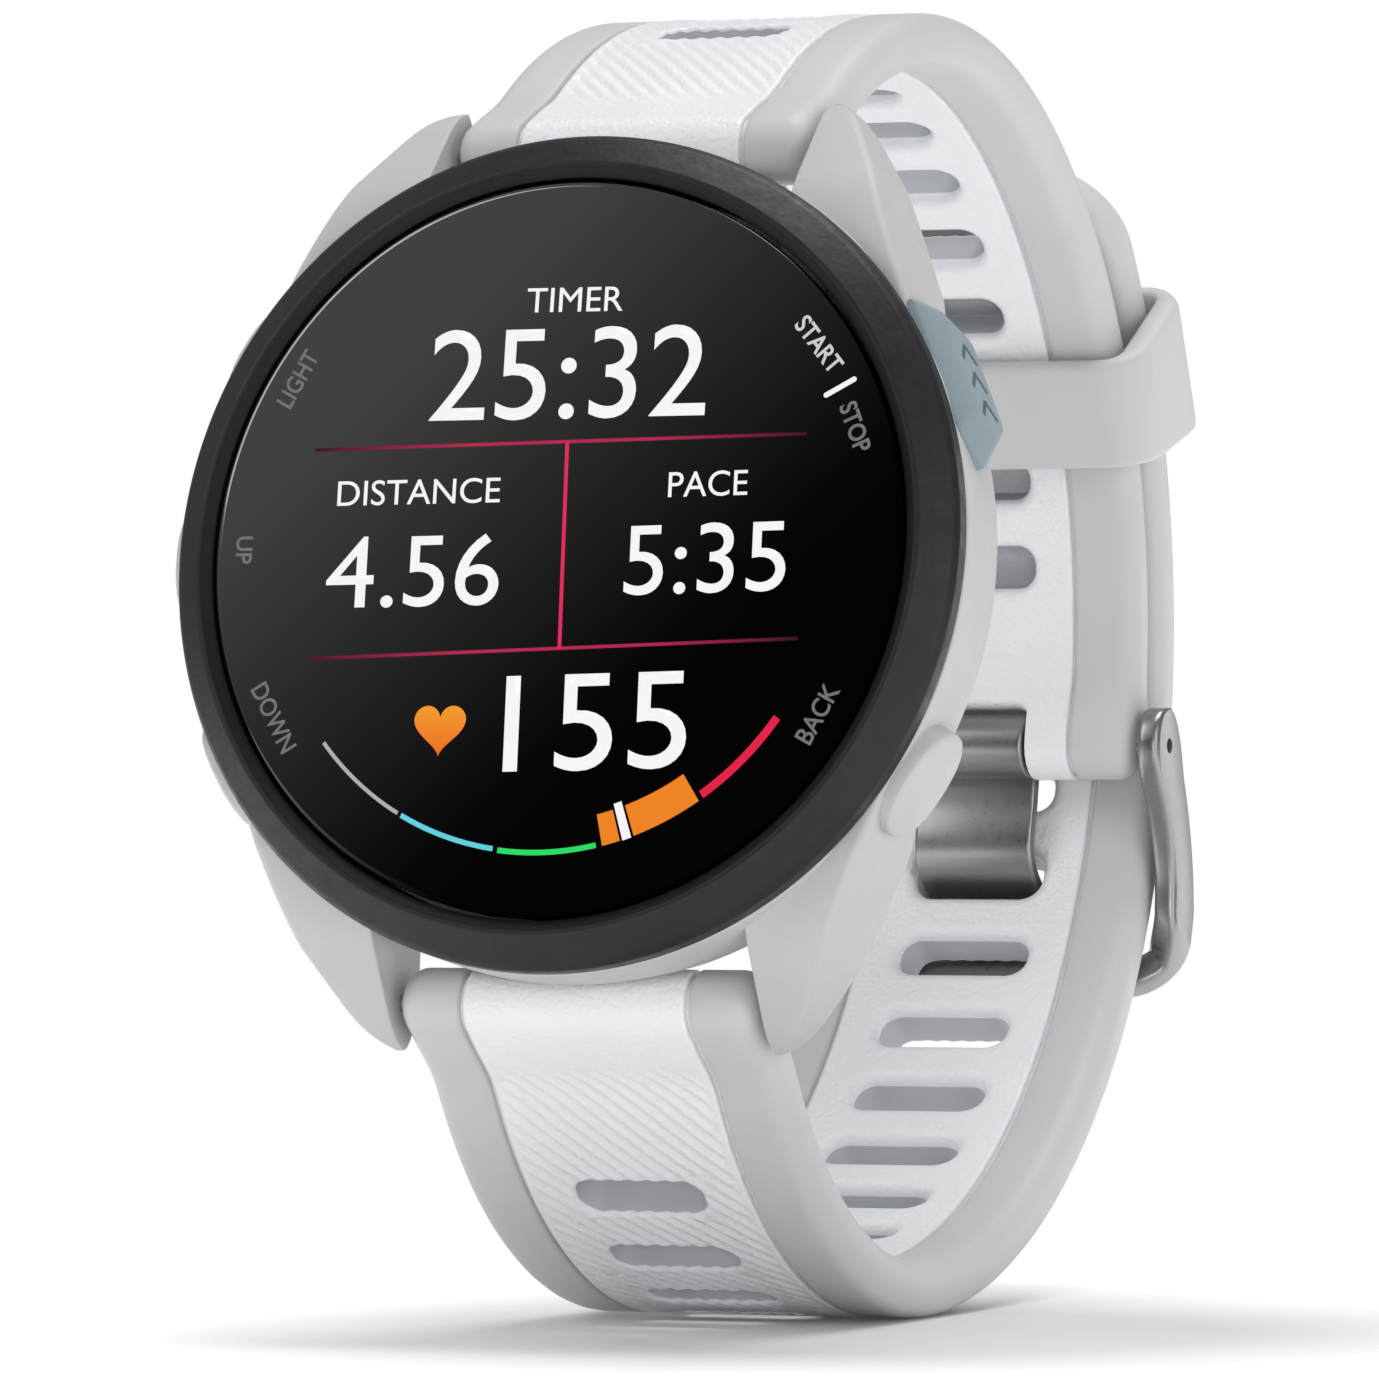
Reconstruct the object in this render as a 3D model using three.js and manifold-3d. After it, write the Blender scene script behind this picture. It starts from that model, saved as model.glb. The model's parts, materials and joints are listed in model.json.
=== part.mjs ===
// A GPS running watch standing on its buckled strap: a round case, a display under glass,
// five side buttons, two strap halves on spring bars, a pin buckle and a sliding keeper.
//
// The watch is built upright in its own frame, in millimetres: X to the right across the
// dial, Y from the glass into the depth of the watch, Z up towards twelve o'clock, with
// the origin at the centre of the glass. The whole is then leaned back and set down so
// that +Z is up, z = 0 is the surface under the strap, and the origin is at the middle
// of the footprint.
import * as THREE from "three";
import { mergeVertices } from "three/addons/utils/BufferGeometryUtils.js";
import Module from "manifold-3d";

const wasm = await Module();
wasm.setup();

// ---------------------------------------------------------------- driving dimensions
const LEAN = THREE.MathUtils.degToRad(10); // how far the watch leans back on its strap
const GAP = 0.3; // clearance between pieces that move or are cut to each other
const SEAM = 0.15; // joint line between pieces that are clamped together

const CASE_R = 21.5; // outer radius of bezel and case
const BORE_R = 18.0; // inner radius of the case
const CASE_FRONT = 2.45;
const CASE_BACK = 9.6;
const GLASS_R = 18.85;
const GLASS_THICK = 1.2;
const WINDOW_R = 12; // heart-rate window in the back
const WINDOW_BACK = 11.6; // the point of the watch that rests on the wrist

const BUTTON_Y = 4.5; // depth of the button axes
const STEM_R = 0.6;
const BUTTON_TRAVEL = 0.5;

const BAR = { y: 8.1, z: 22.2 }; // spring bar, above and below the case
const BAR_R = 0.75;
const BARREL_R = 1.9; // strap end round the spring bar
const LUG_INNER = 10.3; // half of the space between the lugs

const STRAP_HALF = 9.9; // half of the strap's width
const CORE_HALF = 6.1; // half of the inlaid core's width
const UPPER_THICK = 2.9;
const LOWER_THICK = 3.0;
const LAYER_GAP = 1.2; // between the two strap halves where they overlap

const LOOP = { y: 28.6, z: 1.65, r: 30.85 }; // circle that the overlapping straps follow
const TAIL_R = LOOP.r + UPPER_THICK / 2 + LAYER_GAP + LOWER_THICK / 2;
const PIN_ANGLE = -3.4; // buckle pin, in degrees round the loop circle
const PIN_R = 0.75;
const TIP_ANGLE = 54; // free tip of the lower strap
const SLOT = { width: 7.6, length: 2.8, corner: 1.2 };
const SLOT_PITCH = { upper: 5.1, lower: 5.3 };

const KEEPER = { from: 26.8, to: 39.3, wall: 1.15, sideWall: 1.6 };

const rad = THREE.MathUtils.degToRad;

// ---------------------------------------------------------------- solids
// A closed geometry as a manifold-3d solid.
function solid(geometry) {
  const bare = geometry.index ? geometry.toNonIndexed() : geometry.clone();
  bare.deleteAttribute("normal");
  bare.deleteAttribute("uv");
  const merged = mergeVertices(bare, 1e-4);
  return new wasm.Manifold(
    new wasm.Mesh({
      numProp: 3,
      vertProperties: merged.attributes.position.array,
      triVerts: new Uint32Array(merged.index.array),
    }),
  );
}

// A manifold-3d solid as a three.js geometry with flat facets.
function geometryOf(made) {
  const mesh = made.getMesh();
  const geometry = new THREE.BufferGeometry();
  geometry.setAttribute("position", new THREE.BufferAttribute(mesh.vertProperties, 3));
  geometry.setIndex(new THREE.BufferAttribute(mesh.triVerts, 1));
  const flat = geometry.toNonIndexed();
  flat.computeVertexNormals();
  return flat;
}

// Turns a profile of [radius, y] points about the Y axis; it runs anticlockwise.
function lathe(profile, steps = 60) {
  const points = profile.map(([r, y]) => new THREE.Vector2(r, y));
  return solid(new THREE.LatheGeometry(points, steps));
}

function ring(inner, outer, y0, y1, steps) {
  const corners = [[inner, y0], [outer, y0], [outer, y1], [inner, y1], [inner, y0]];
  return lathe(corners, steps);
}

function disc(radius, y0, y1, steps) {
  return lathe([[0, y0], [radius, y0], [radius, y1], [0, y1]], steps);
}

// A disc or post parallel to the Y axis, standing at x, z.
function post(x, z, radius, y0, y1, steps = 16) {
  return disc(radius, y0, y1, steps).translate([x, 0, z]);
}

function shapeOf(points) {
  return new THREE.Shape(points.map(([a, b]) => new THREE.Vector2(a, b)));
}

// A shape drawn in (y, z), extruded along X.
function alongX(shape, x0, x1, curveSegments = 6) {
  const options = { depth: x1 - x0, bevelEnabled: false, curveSegments };
  const geometry = new THREE.ExtrudeGeometry(shape, options);
  const basis = new THREE.Matrix4().makeBasis(
    new THREE.Vector3(0, 1, 0),
    new THREE.Vector3(0, 0, 1),
    new THREE.Vector3(1, 0, 0),
  );
  return solid(geometry.applyMatrix4(basis)).translate([x0, 0, 0]);
}

// A shape drawn in (x, z), extruded along Y.
function alongY(shape, y0, y1, curveSegments = 6) {
  const options = { depth: y1 - y0, bevelEnabled: false, curveSegments };
  const geometry = new THREE.ExtrudeGeometry(shape, options);
  return solid(geometry.rotateX(Math.PI / 2)).translate([0, y1, 0]);
}

function box(x0, x1, y0, y1, z0, z1) {
  const geometry = new THREE.BoxGeometry(x1 - x0, y1 - y0, z1 - z0);
  return solid(geometry).translate([(x0 + x1) / 2, (y0 + y1) / 2, (z0 + z1) / 2]);
}

// A round bar along X at (y, z).
function rod(radius, x0, x1, y, z, steps = 16) {
  const geometry = new THREE.CylinderGeometry(radius, radius, x1 - x0, steps);
  return solid(geometry.rotateZ(Math.PI / 2)).translate([(x0 + x1) / 2, y, z]);
}

// A round bar along X from the axis outwards, used in the frame of one button.
function stem(radius, x0, x1, y = BUTTON_Y) {
  return rod(radius, x0, x1, y, 0, 12);
}

function roundedRect(width, height, corner, steps = 3) {
  const shape = new THREE.Shape();
  const a = width / 2 - corner;
  const b = height / 2 - corner;
  const centres = [[a, b], [-a, b], [-a, -b], [a, -b]];
  const points = centres.flatMap(([x, y], quarter) =>
    Array.from({ length: steps + 1 }, (_, i) => {
      const turn = ((quarter + i / steps) * Math.PI) / 2;
      return new THREE.Vector2(x + corner * Math.cos(turn), y + corner * Math.sin(turn));
    }),
  );
  return shape.setFromPoints(points);
}

// ---------------------------------------------------------------- paths of arcs in (y, z)
// A path of tangent arcs, each [radius, sweep in degrees], left turns positive.
// at(s) gives the point and the heading at arc length s.
function arcPath(start, headingDegrees, arcs) {
  const pieces = [];
  let [y, z] = start;
  let heading = rad(headingDegrees);
  let length = 0;
  for (const [radius, sweepDegrees] of arcs) {
    const side = Math.sign(sweepDegrees);
    const centre = [y - side * radius * Math.sin(heading), z + side * radius * Math.cos(heading)];
    pieces.push({ from: length, radius, side, centre, heading });
    heading += rad(sweepDegrees);
    length += radius * Math.abs(rad(sweepDegrees));
    y = centre[0] + side * radius * Math.sin(heading);
    z = centre[1] - side * radius * Math.cos(heading);
  }
  const at = (s) => {
    const piece = pieces.findLast((p) => p.from <= s) ?? pieces[0];
    const turned = piece.heading + (piece.side * (s - piece.from)) / piece.radius;
    return {
      y: piece.centre[0] + piece.side * piece.radius * Math.sin(turned),
      z: piece.centre[1] - piece.side * piece.radius * Math.cos(turned),
      heading: turned,
    };
  };
  return { length, at };
}

// The outline of a band of the given thickness that follows a path from s0 to s1.
function bandOutline(path, s0, s1, thick, step = 3.4) {
  const count = Math.ceil((s1 - s0) / step);
  const left = [];
  const right = [];
  for (let i = 0; i <= count; i++) {
    const { y, z, heading } = path.at(s0 + ((s1 - s0) * i) / count);
    const out = [(-Math.sin(heading) * thick) / 2, (Math.cos(heading) * thick) / 2];
    left.push([y + out[0], z + out[1]]);
    right.push([y - out[0], z - out[1]]);
  }
  return shapeOf([...right, ...left.reverse()]);
}

function band(path, s0, s1, thick, halfWidth) {
  return alongX(bandOutline(path, s0, s1, thick), -halfWidth, halfWidth);
}

// A cutter through the strap at s: a shape drawn in (x, along the path).
function through(path, s, shape, depth = 8) {
  const { y, z, heading } = path.at(s);
  const options = { depth, bevelEnabled: false, curveSegments: 4 };
  const geometry = new THREE.ExtrudeGeometry(shape, options).translate(0, 0, -depth / 2);
  const side = new THREE.Vector3(1, 0, 0);
  const along = new THREE.Vector3(0, Math.cos(heading), Math.sin(heading));
  const basis = new THREE.Matrix4().makeBasis(side, along, side.clone().cross(along));
  return solid(geometry.applyMatrix4(basis.setPosition(0, y, z)));
}

function polar(radius, degrees) {
  return [LOOP.y + radius * Math.cos(rad(degrees)), LOOP.z + radius * Math.sin(rad(degrees))];
}

// The upper strap runs from the buckle pin up round the back and over to its spring bar.
const UPPER_PATH = arcPath(polar(LOOP.r, PIN_ANGLE), 90 + PIN_ANGLE, [
  [LOOP.r, 69.3 - PIN_ANGLE],
  [27, 65.5],
  [14.5, -14.7],
]);

// The lower strap runs from its free tip down outside the upper strap, under and forward
// to its own spring bar.
const LOWER_PATH = arcPath(polar(TAIL_R, TIP_ANGLE), TIP_ANGLE - 90, [
  [TAIL_R, -TIP_ANGLE - 25.4],
  [36.5, -48.4],
  [24.4, -63.6],
  [18.3, 18.3],
]);

const PIN = UPPER_PATH.at(0);

// ---------------------------------------------------------------- case
const SCREW_RING = 16.4;
const SCREW_ANGLES = [40, 140, 220, 320];

function screwPlaces() {
  return SCREW_ANGLES.map((degrees) => [
    SCREW_RING * Math.cos(rad(degrees)),
    SCREW_RING * Math.sin(rad(degrees)),
  ]);
}

// One lug is the overlap of its face outline and its side outline.
function lug() {
  const face = new THREE.Shape();
  face.moveTo(LUG_INNER, 12);
  face.lineTo(17.9, 12);
  face.quadraticCurveTo(16.2, 16.6, 14.6, 20);
  face.lineTo(13.2, 22.6);
  face.quadraticCurveTo(12.2, 24.5, 11.1, 24.5);
  face.quadraticCurveTo(LUG_INNER, 24.5, LUG_INNER, 23.8);
  const side = new THREE.Shape();
  side.moveTo(CASE_BACK, 12);
  side.lineTo(10.2, 20);
  side.quadraticCurveTo(10.4, 24.5, 8.6, 24.5);
  side.quadraticCurveTo(7.6, 24.4, 6.6, 23.2);
  side.lineTo(4, 19.7);
  side.quadraticCurveTo(3, 18.2, CASE_FRONT, 15);
  side.lineTo(CASE_FRONT, 12);
  return alongY(face, 0, 12, 5).intersect(alongX(side, 9, 19, 5));
}

function fourLugs() {
  const right = lug();
  const top = right.add(right.mirror([1, 0, 0]));
  return top.add(top.mirror([0, 0, 1]));
}

function caseBody() {
  const outside = lathe([
    [0, CASE_FRONT],
    [CASE_R - 0.1, CASE_FRONT],
    [CASE_R, CASE_FRONT + 0.15],
    [CASE_R, 6.2],
    [21.2, 7.5],
    [20.4, 8.7],
    [19.5, CASE_BACK],
    [0, CASE_BACK],
  ]);
  const cavity = lathe([
    [0, 0],
    [20.2, 0],
    [20.2, 3.7],
    [BORE_R, 3.7],
    [BORE_R, 8],
    [18.9, 8],
    [18.9, 12],
    [0, 12],
  ]);
  let made = outside.add(fourLugs()).subtract(cavity);
  for (const [x, z] of screwPlaces()) {
    const boss = post(x, z, 1.75, 5.6, 8).subtract(post(x, z, 0.8, 6.2, 9));
    made = made.add(boss);
  }
  for (const side of [1, -1]) {
    const scoop = rod(BARREL_R + 0.45, -LUG_INNER, LUG_INNER, BAR.y, side * BAR.z, 24);
    const holes = rod(BAR_R, -LUG_INNER - 1.6, LUG_INNER + 1.6, BAR.y, side * BAR.z, 12);
    made = made.subtract(scoop).subtract(holes);
  }
  for (const button of BUTTONS) {
    made = made.subtract(buttonPocket(button).rotate([0, -button.angle, 0]));
  }
  return made;
}

function bezel() {
  return lathe([
    [19.05, 0.45],
    [19.56, -0.1],
    [19.85, -0.1],
    [21.2, 0.9],
    [CASE_R, 1.46],
    [CASE_R, CASE_FRONT - SEAM],
    [20, CASE_FRONT - SEAM],
    [20, 3],
    [19.05, 3],
    [19.05, 0.45],
  ], 72);
}

function frontGlass() {
  return lathe([
    [0, 0],
    [GLASS_R - 0.15, 0],
    [GLASS_R, 0.15],
    [GLASS_R, GLASS_THICK],
    [0, GLASS_THICK],
  ], 60);
}

const displayModule = () => disc(18, GLASS_THICK + SEAM, 2.8, 48);
const antennaRing = () => ring(18.25, 18.8, GLASS_THICK + 0.3, 3, 40);
const frontGasket = () => ring(19.15, 19.9, 3.15, 3.55, 40);
const rearGasket = () => ring(18.2, 18.65, 8.15, 8.5, 40);

// The board carries one side switch in line with each button.
function mainBoard() {
  let made = disc(17.6, 3.0, 3.75, 40);
  for (const { angle } of BUTTONS) {
    const sideSwitch = box(14.8, 16.8, 3.5, 5.3, -1.6, 1.6);
    made = made.add(sideSwitch.rotate([0, -angle, 0]));
  }
  return made;
}

function battery() {
  return disc(13.6, 4.1, 7.4, 40).intersect(box(-13, 13, 4, 7.5, -9.6, 9.6));
}

const vibrationMotor = () => post(5.2, 13.4, 3, 4.1, 6.8, 24);
const buzzer = () => post(-5.2, 13.4, 3, 4.1, 5.9, 24);
const sensorBoard = () => disc(11, 7.7, 8.4, 40);

// ---------------------------------------------------------------- back of the case
const PORT = { z: -15.5, width: 7.6, height: 3 };
const CONTACT_PITCH = 1.7;

const portOutline = (grow) =>
  roundedRect(PORT.width + 2 * grow, PORT.height + 2 * grow, 0.9 + grow);

function rearCover() {
  let made = lathe([
    [WINDOW_R + SEAM * 2, 8.7],
    [18.6, 8.7],
    [18.6, 9.5],
    [17.9, 9.95],
    [13.2, 10.5],
    [WINDOW_R + SEAM * 2, 10.5],
    [WINDOW_R + SEAM * 2, 8.7],
  ]);
  made = made.subtract(alongY(portOutline(0.2), 8, 12).translate([0, 0, PORT.z]));
  for (const [x, z] of screwPlaces()) {
    made = made.subtract(post(x, z, 0.8, 8, 12, 12)).subtract(post(x, z, 1.3, 9.3, 12));
  }
  return made;
}

function screw(x, z) {
  const head = post(x, z, 1, 9.45, 9.95);
  const driveSlot = box(x - 0.7, x + 0.7, 9.75, 10.2, z - 0.14, z + 0.14);
  return head.subtract(driveSlot).add(post(x, z, 0.5, 6.6, 9.6, 10));
}

function sensorWindow() {
  return lathe([
    [0, 8.9],
    [WINDOW_R, 8.9],
    [WINDOW_R, 10.7],
    [11.4, 11.2],
    [9.8, WINDOW_BACK],
    [0, WINDOW_BACK],
  ]);
}

const portInsert = () => alongY(portOutline(0), 8.8, 9.6).translate([0, 0, PORT.z]);
const contact = (i) => post((i - 1.5) * CONTACT_PITCH, PORT.z, 0.5, 9.65, 9.95, 12);

// ---------------------------------------------------------------- buttons
// Each button is drawn at three o'clock, pointing along +X, and turned to its angle.
const OVAL = { width: 5.8, height: 3.4, reach: 22.4 };
const WEDGE = { width: 9, height: 4.4, slant: 0.7, reach: 23 };
const CAP_ROOT = 20.75;

const BUTTONS = [
  { name: "start_stop", angle: 24, wedge: true },
  { name: "back", angle: -31 },
  { name: "light", angle: 150 },
  { name: "up", angle: 180 },
  { name: "down", angle: 210 },
];

function wedgeOutline(grow) {
  const a = WEDGE.width / 2 + grow;
  const b = WEDGE.height / 2 + grow;
  const corners = [[-b, -a], [b, -a + WEDGE.slant], [b, a - WEDGE.slant], [-b, a]];
  return shapeOf(corners.map(([y, z]) => [BUTTON_Y + 0.15 + y, z]));
}

function ovalOutline(grow) {
  const shape = new THREE.Shape();
  const r = OVAL.height / 2 + grow;
  const straight = (OVAL.width - OVAL.height) / 2;
  shape.absarc(BUTTON_Y, straight, r, 0, Math.PI);
  shape.absarc(BUTTON_Y, -straight, r, Math.PI, 2 * Math.PI);
  return shape;
}

const capOutline = (button, grow) => (button.wedge ? wedgeOutline(grow) : ovalOutline(grow));

function buttonCap(button) {
  const { reach } = button.wedge ? WEDGE : OVAL;
  const dome = lathe([
    [0, 0],
    [reach - 0.5, 0],
    [reach - 0.5, BUTTON_Y - 2],
    [reach, BUTTON_Y - 1.2],
    [reach, BUTTON_Y + 1.2],
    [reach - 0.5, BUTTON_Y + 2],
    [reach - 0.5, 12],
    [0, 12],
  ], 120);
  return alongX(capOutline(button, 0), CAP_ROOT, reach + 1, 6).intersect(dome);
}

// The recess round the cap and the bore for its stem, both with clearance.
function buttonPocket(button) {
  const recess = alongX(capOutline(button, GAP), CAP_ROOT - BUTTON_TRAVEL - 0.1, 24, 6);
  return recess.add(stem(STEM_R + GAP, 17, 22));
}

const buttonStem = () => stem(STEM_R, 17.6, CAP_ROOT - 0.05);

// ---------------------------------------------------------------- strap
function slotCutters(path, first, count, pitch) {
  const outline = roundedRect(SLOT.width, SLOT.length, SLOT.corner, 2);
  const places = Array.from({ length: count }, (_, i) => first + i * pitch);
  return places.map((s) => through(path, s, outline));
}

// The frame of a strap half has two rails, a solid part at each end, and a barrel
// round its spring bar with a slot for the quick-release knob.
function strapFrame({ path, thick, side, coreFrom, coreTo }) {
  const channel = band(path, coreFrom, coreTo, thick + 2, CORE_HALF + 0.2);
  const barrel = rod(BARREL_R, -STRAP_HALF, STRAP_HALF, BAR.y, side * BAR.z, 24);
  const bore = rod(BAR_R + GAP, -12, 12, BAR.y, side * BAR.z, 16);
  const knob0 = KNOB.x - KNOB.half - PLUNGER_TRAVEL - GAP;
  const knob1 = KNOB.x + KNOB.half + GAP;
  const mid = side * BAR.z;
  const knobSlot = box(knob0, knob1, BAR.y, BAR.y + 4, mid - 0.7, mid + 0.7);
  return band(path, 0, path.length, thick, STRAP_HALF)
    .subtract(channel)
    .add(barrel)
    .subtract(bore)
    .subtract(knobSlot);
}

// The core fills the channel and carries the row of slots.
function strapCore({ path, thick, coreFrom, coreTo, firstSlot, slots, pitch }) {
  const inlay = band(path, coreFrom + 0.2, coreTo - 0.2, thick, CORE_HALF);
  const cutters = slotCutters(path, firstSlot, slots, pitch);
  return cutters.reduce((made, cut) => made.subtract(cut), inlay);
}

// The tongue's slot in the lower strap is one of its row of slots.
const TONGUE_SLOT_ANGLE = -15.2;
const TONGUE_SLOT_INDEX = 6; // counted from the free tip
const TONGUE_PITCH = 70; // how steeply the tongue crosses the strap, in degrees
const TONGUE_BIAS = 0.2; // the tongue lies this much below the middle of its slot
const tongueSlotAt = TAIL_R * rad(TIP_ANGLE - TONGUE_SLOT_ANGLE);

const UPPER = {
  path: UPPER_PATH,
  thick: UPPER_THICK,
  side: 1,
  coreFrom: 5,
  coreTo: UPPER_PATH.length - 3.4,
  firstSlot: 10.1,
  slots: 11,
  pitch: SLOT_PITCH.upper,
};
const LOWER = {
  path: LOWER_PATH,
  thick: LOWER_THICK,
  side: -1,
  coreFrom: 3.2,
  coreTo: LOWER_PATH.length - 3.4,
  firstSlot: tongueSlotAt - TONGUE_SLOT_INDEX * SLOT_PITCH.lower,
  slots: 18,
  pitch: SLOT_PITCH.lower,
};

const KNOB = { x: 6, half: 0.5 };
const PLUNGER_TRAVEL = 1.4;
const PIN_BARREL_R = 1.9;

function upperStrapFrame() {
  const { y, z } = PIN;
  const pinBarrel = rod(PIN_BARREL_R, -STRAP_HALF, STRAP_HALF, y, z, 20);
  const notch = box(-3.7, 3.7, y - 3, y + 3, z - 3, z + 2.6);
  return strapFrame(UPPER)
    .add(pinBarrel)
    .subtract(rod(PIN_R + GAP, -12, 12, y, z, 12))
    .subtract(notch);
}

// The free end of the lower strap is rounded off at its two corners.
function lowerStrapFrame() {
  const corner = 5;
  const outer = STRAP_HALF + 1;
  let made = strapFrame(LOWER);
  for (const side of [1, -1]) {
    const inner = STRAP_HALF - corner;
    const arc = Array.from({ length: 7 }, (_, i) => {
      const turn = (i * Math.PI) / 12;
      return [side * (inner + corner * Math.sin(turn)), corner - corner * Math.cos(turn)];
    });
    const outline = shapeOf([[side * inner, -1], ...arc, [side * outer, corner], [side * outer, -1]]);
    made = made.subtract(through(LOWER_PATH, 0, outline, 12));
  }
  return made;
}

// The spring bar is a tube with one fixed tip; the quick-release plunger is its other
// end, with a knob that pulls it back.
function springBar(side) {
  const z = side * BAR.z;
  return rod(BAR_R, -9.8, 2.9, BAR.y, z).add(rod(0.45, -11.6, -9.7, BAR.y, z, 12));
}

function plunger(side) {
  const z = side * BAR.z;
  const knob = box(KNOB.x - KNOB.half, KNOB.x + KNOB.half, BAR.y, BAR.y + 2.9, z - 0.4, z + 0.4);
  const sleeve = rod(BAR_R, 4.5, 9.8, BAR.y, z);
  return sleeve.add(rod(0.45, 9.7, 11.6, BAR.y, z, 12)).add(knob);
}

// ---------------------------------------------------------------- buckle and keeper
const ARM = { inner: 10.3, outer: 11.6 };
const STRAP_OUTSIDE = TAIL_R + LOWER_THICK / 2;
const FAR_BAR = { radii: [STRAP_OUTSIDE + 0.3, STRAP_OUTSIDE + 1.8], from: -25, to: -20.5 };

// Arms beside the strap, from the pin to a wide bar outside the lower strap.
function buckleFrame() {
  const { y, z } = PIN;
  const [barInner, barOuter] = FAR_BAR.radii;
  const heel = polar(barInner, FAR_BAR.from);
  const toe = polar(barOuter, FAR_BAR.from);
  const arm = new THREE.Shape();
  arm.moveTo(y - 1.9, z);
  arm.quadraticCurveTo(y - 1.8, z - 1.6, y - 0.4, z - 3);
  arm.quadraticCurveTo(y + 3, z - 6.8, y + 2.8, z - 10);
  arm.lineTo(heel[0], heel[1]);
  arm.lineTo(toe[0], toe[1]);
  arm.quadraticCurveTo(y + 5.8, z - 12, y + 5.7, z - 9);
  arm.quadraticCurveTo(y + 5.2, z - 5, y + 2.9, z - 1.4);
  arm.quadraticCurveTo(y + 1.6, z + 2.1, y, z + 2.1);
  arm.quadraticCurveTo(y - 1.9, z + 2, y - 1.9, z);
  const bar = sector(barInner, barOuter, FAR_BAR.from, FAR_BAR.to, 3);
  return alongX(arm, ARM.inner, ARM.outer)
    .add(alongX(arm, -ARM.outer, -ARM.inner))
    .add(alongX(bar, -ARM.inner - 0.1, ARM.inner + 0.1))
    .subtract(rod(PIN_R + GAP, -14, 14, y, z, 16));
}

const bucklePin = () => rod(PIN_R, -ARM.outer + 0.2, ARM.outer - 0.2, PIN.y, PIN.z, 16);

// The tongue wraps the pin, passes out steeply through its slot and ends on the far bar.
function buckleTongue() {
  const { y, z } = PIN;
  const half = 3.3;
  const thick = 0.8;
  const over = FAR_BAR.radii[1] + 0.25 + thick / 2;
  const lowered = THREE.MathUtils.radToDeg(TONGUE_BIAS / TAIL_R);
  const slot = new THREE.Vector2(...polar(TAIL_R, TONGUE_SLOT_ANGLE - lowered));
  const crossing = TONGUE_SLOT_ANGLE - 90 + TONGUE_PITCH;
  const reach = new THREE.Vector2(2.1 * Math.cos(rad(crossing)), 2.1 * Math.sin(rad(crossing)));
  const stops = [
    new THREE.Vector2(y + 1.2, z - 0.4),
    new THREE.Vector2(y + 1.1, z - 3),
    slot.clone().sub(reach),
    slot.clone().add(reach),
    new THREE.Vector2(...polar(over, -19)),
    new THREE.Vector2(...polar(over, FAR_BAR.from + 0.5)),
  ];
  const plate = alongX(plateOutline(stops, thick), -half, half);
  const eye = rod(1.65, -half, half, y, z, 20);
  return plate.add(eye).subtract(rod(PIN_R + GAP, -5, 5, y, z, 16));
}

// The outline of a bent plate round the corners of its middle line.
function plateOutline(stops, thick) {
  const sides = stops.map((stop, i) => {
    const before = stops[Math.max(i - 1, 0)];
    const after = stops[Math.min(i + 1, stops.length - 1)];
    const along = after.clone().sub(before).normalize();
    return new THREE.Vector2(-along.y, along.x).multiplyScalar(thick / 2);
  });
  const left = stops.map((stop, i) => stop.clone().add(sides[i]));
  const right = stops.map((stop, i) => stop.clone().sub(sides[i]));
  return new THREE.Shape([...right, ...left.reverse()]);
}

function sector(r0, r1, from, to, steps) {
  const angles = Array.from({ length: steps + 1 }, (_, i) => from + ((to - from) * i) / steps);
  const outer = angles.map((a) => polar(r1, a));
  const inner = angles.map((a) => polar(r0, a)).reverse();
  return shapeOf([...outer, ...inner]);
}

function keeper() {
  const inside = LOOP.r - UPPER_THICK / 2 - GAP;
  const outside = TAIL_R + LOWER_THICK / 2 + GAP;
  const halfHole = STRAP_HALF + GAP;
  const half = halfHole + KEEPER.sideWall;
  const { from, to, wall } = KEEPER;
  const block = alongX(sector(inside - wall, outside + wall, from, to, 4), -half, half);
  const hole = alongX(sector(inside, outside, from - 5, to + 5, 8), -halfHole, halfHole);
  return block.subtract(hole);
}

// ---------------------------------------------------------------- assembly
const LOOKS = {
  glass: { color: 0x16181c, roughness: 0.08, metalness: 0 },
  bezel: { color: 0x3a3b3d, roughness: 0.6, metalness: 0.1 },
  shell: { color: 0xcfcfcc, roughness: 0.55, metalness: 0 },
  core: { color: 0xe4e7ee, roughness: 0.6, metalness: 0 },
  accent: { color: 0x879ba3, roughness: 0.45, metalness: 0.2 },
  steel: { color: 0x8a8b8c, roughness: 0.35, metalness: 0.9 },
  brightSteel: { color: 0xc3c5c8, roughness: 0.25, metalness: 1 },
  display: { color: 0x101114, roughness: 0.3, metalness: 0 },
  board: { color: 0x1d5a3a, roughness: 0.6, metalness: 0 },
  cell: { color: 0x9a9da3, roughness: 0.4, metalness: 0.6 },
  seal: { color: 0x202124, roughness: 0.8, metalness: 0 },
  gold: { color: 0xd8b25a, roughness: 0.3, metalness: 1 },
};

const watch = new THREE.Group();

function add(name, made, look, parent = watch) {
  const mesh = new THREE.Mesh(geometryOf(made), new THREE.MeshStandardMaterial(LOOKS[look]));
  mesh.name = name;
  parent.add(mesh);
}

add("front_glass", frontGlass(), "glass");
add("bezel", bezel(), "bezel");
add("display_module", displayModule(), "display");
add("antenna_ring", antennaRing(), "gold");
add("front_gasket", frontGasket(), "seal");
add("case_body", caseBody(), "shell");
add("main_board", mainBoard(), "board");
add("battery", battery(), "cell");
add("vibration_motor", vibrationMotor(), "steel");
add("buzzer", buzzer(), "gold");
add("sensor_board", sensorBoard(), "board");
add("rear_gasket", rearGasket(), "seal");
add("rear_cover", rearCover(), "shell");
add("sensor_window", sensorWindow(), "glass");
add("charging_port", portInsert(), "seal");
for (let i = 0; i < 4; i++) add("charging_contact_" + (i + 1), contact(i), "gold");
screwPlaces().forEach(([x, z], i) => add("rear_screw_" + (i + 1), screw(x, z), "brightSteel"));

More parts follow.
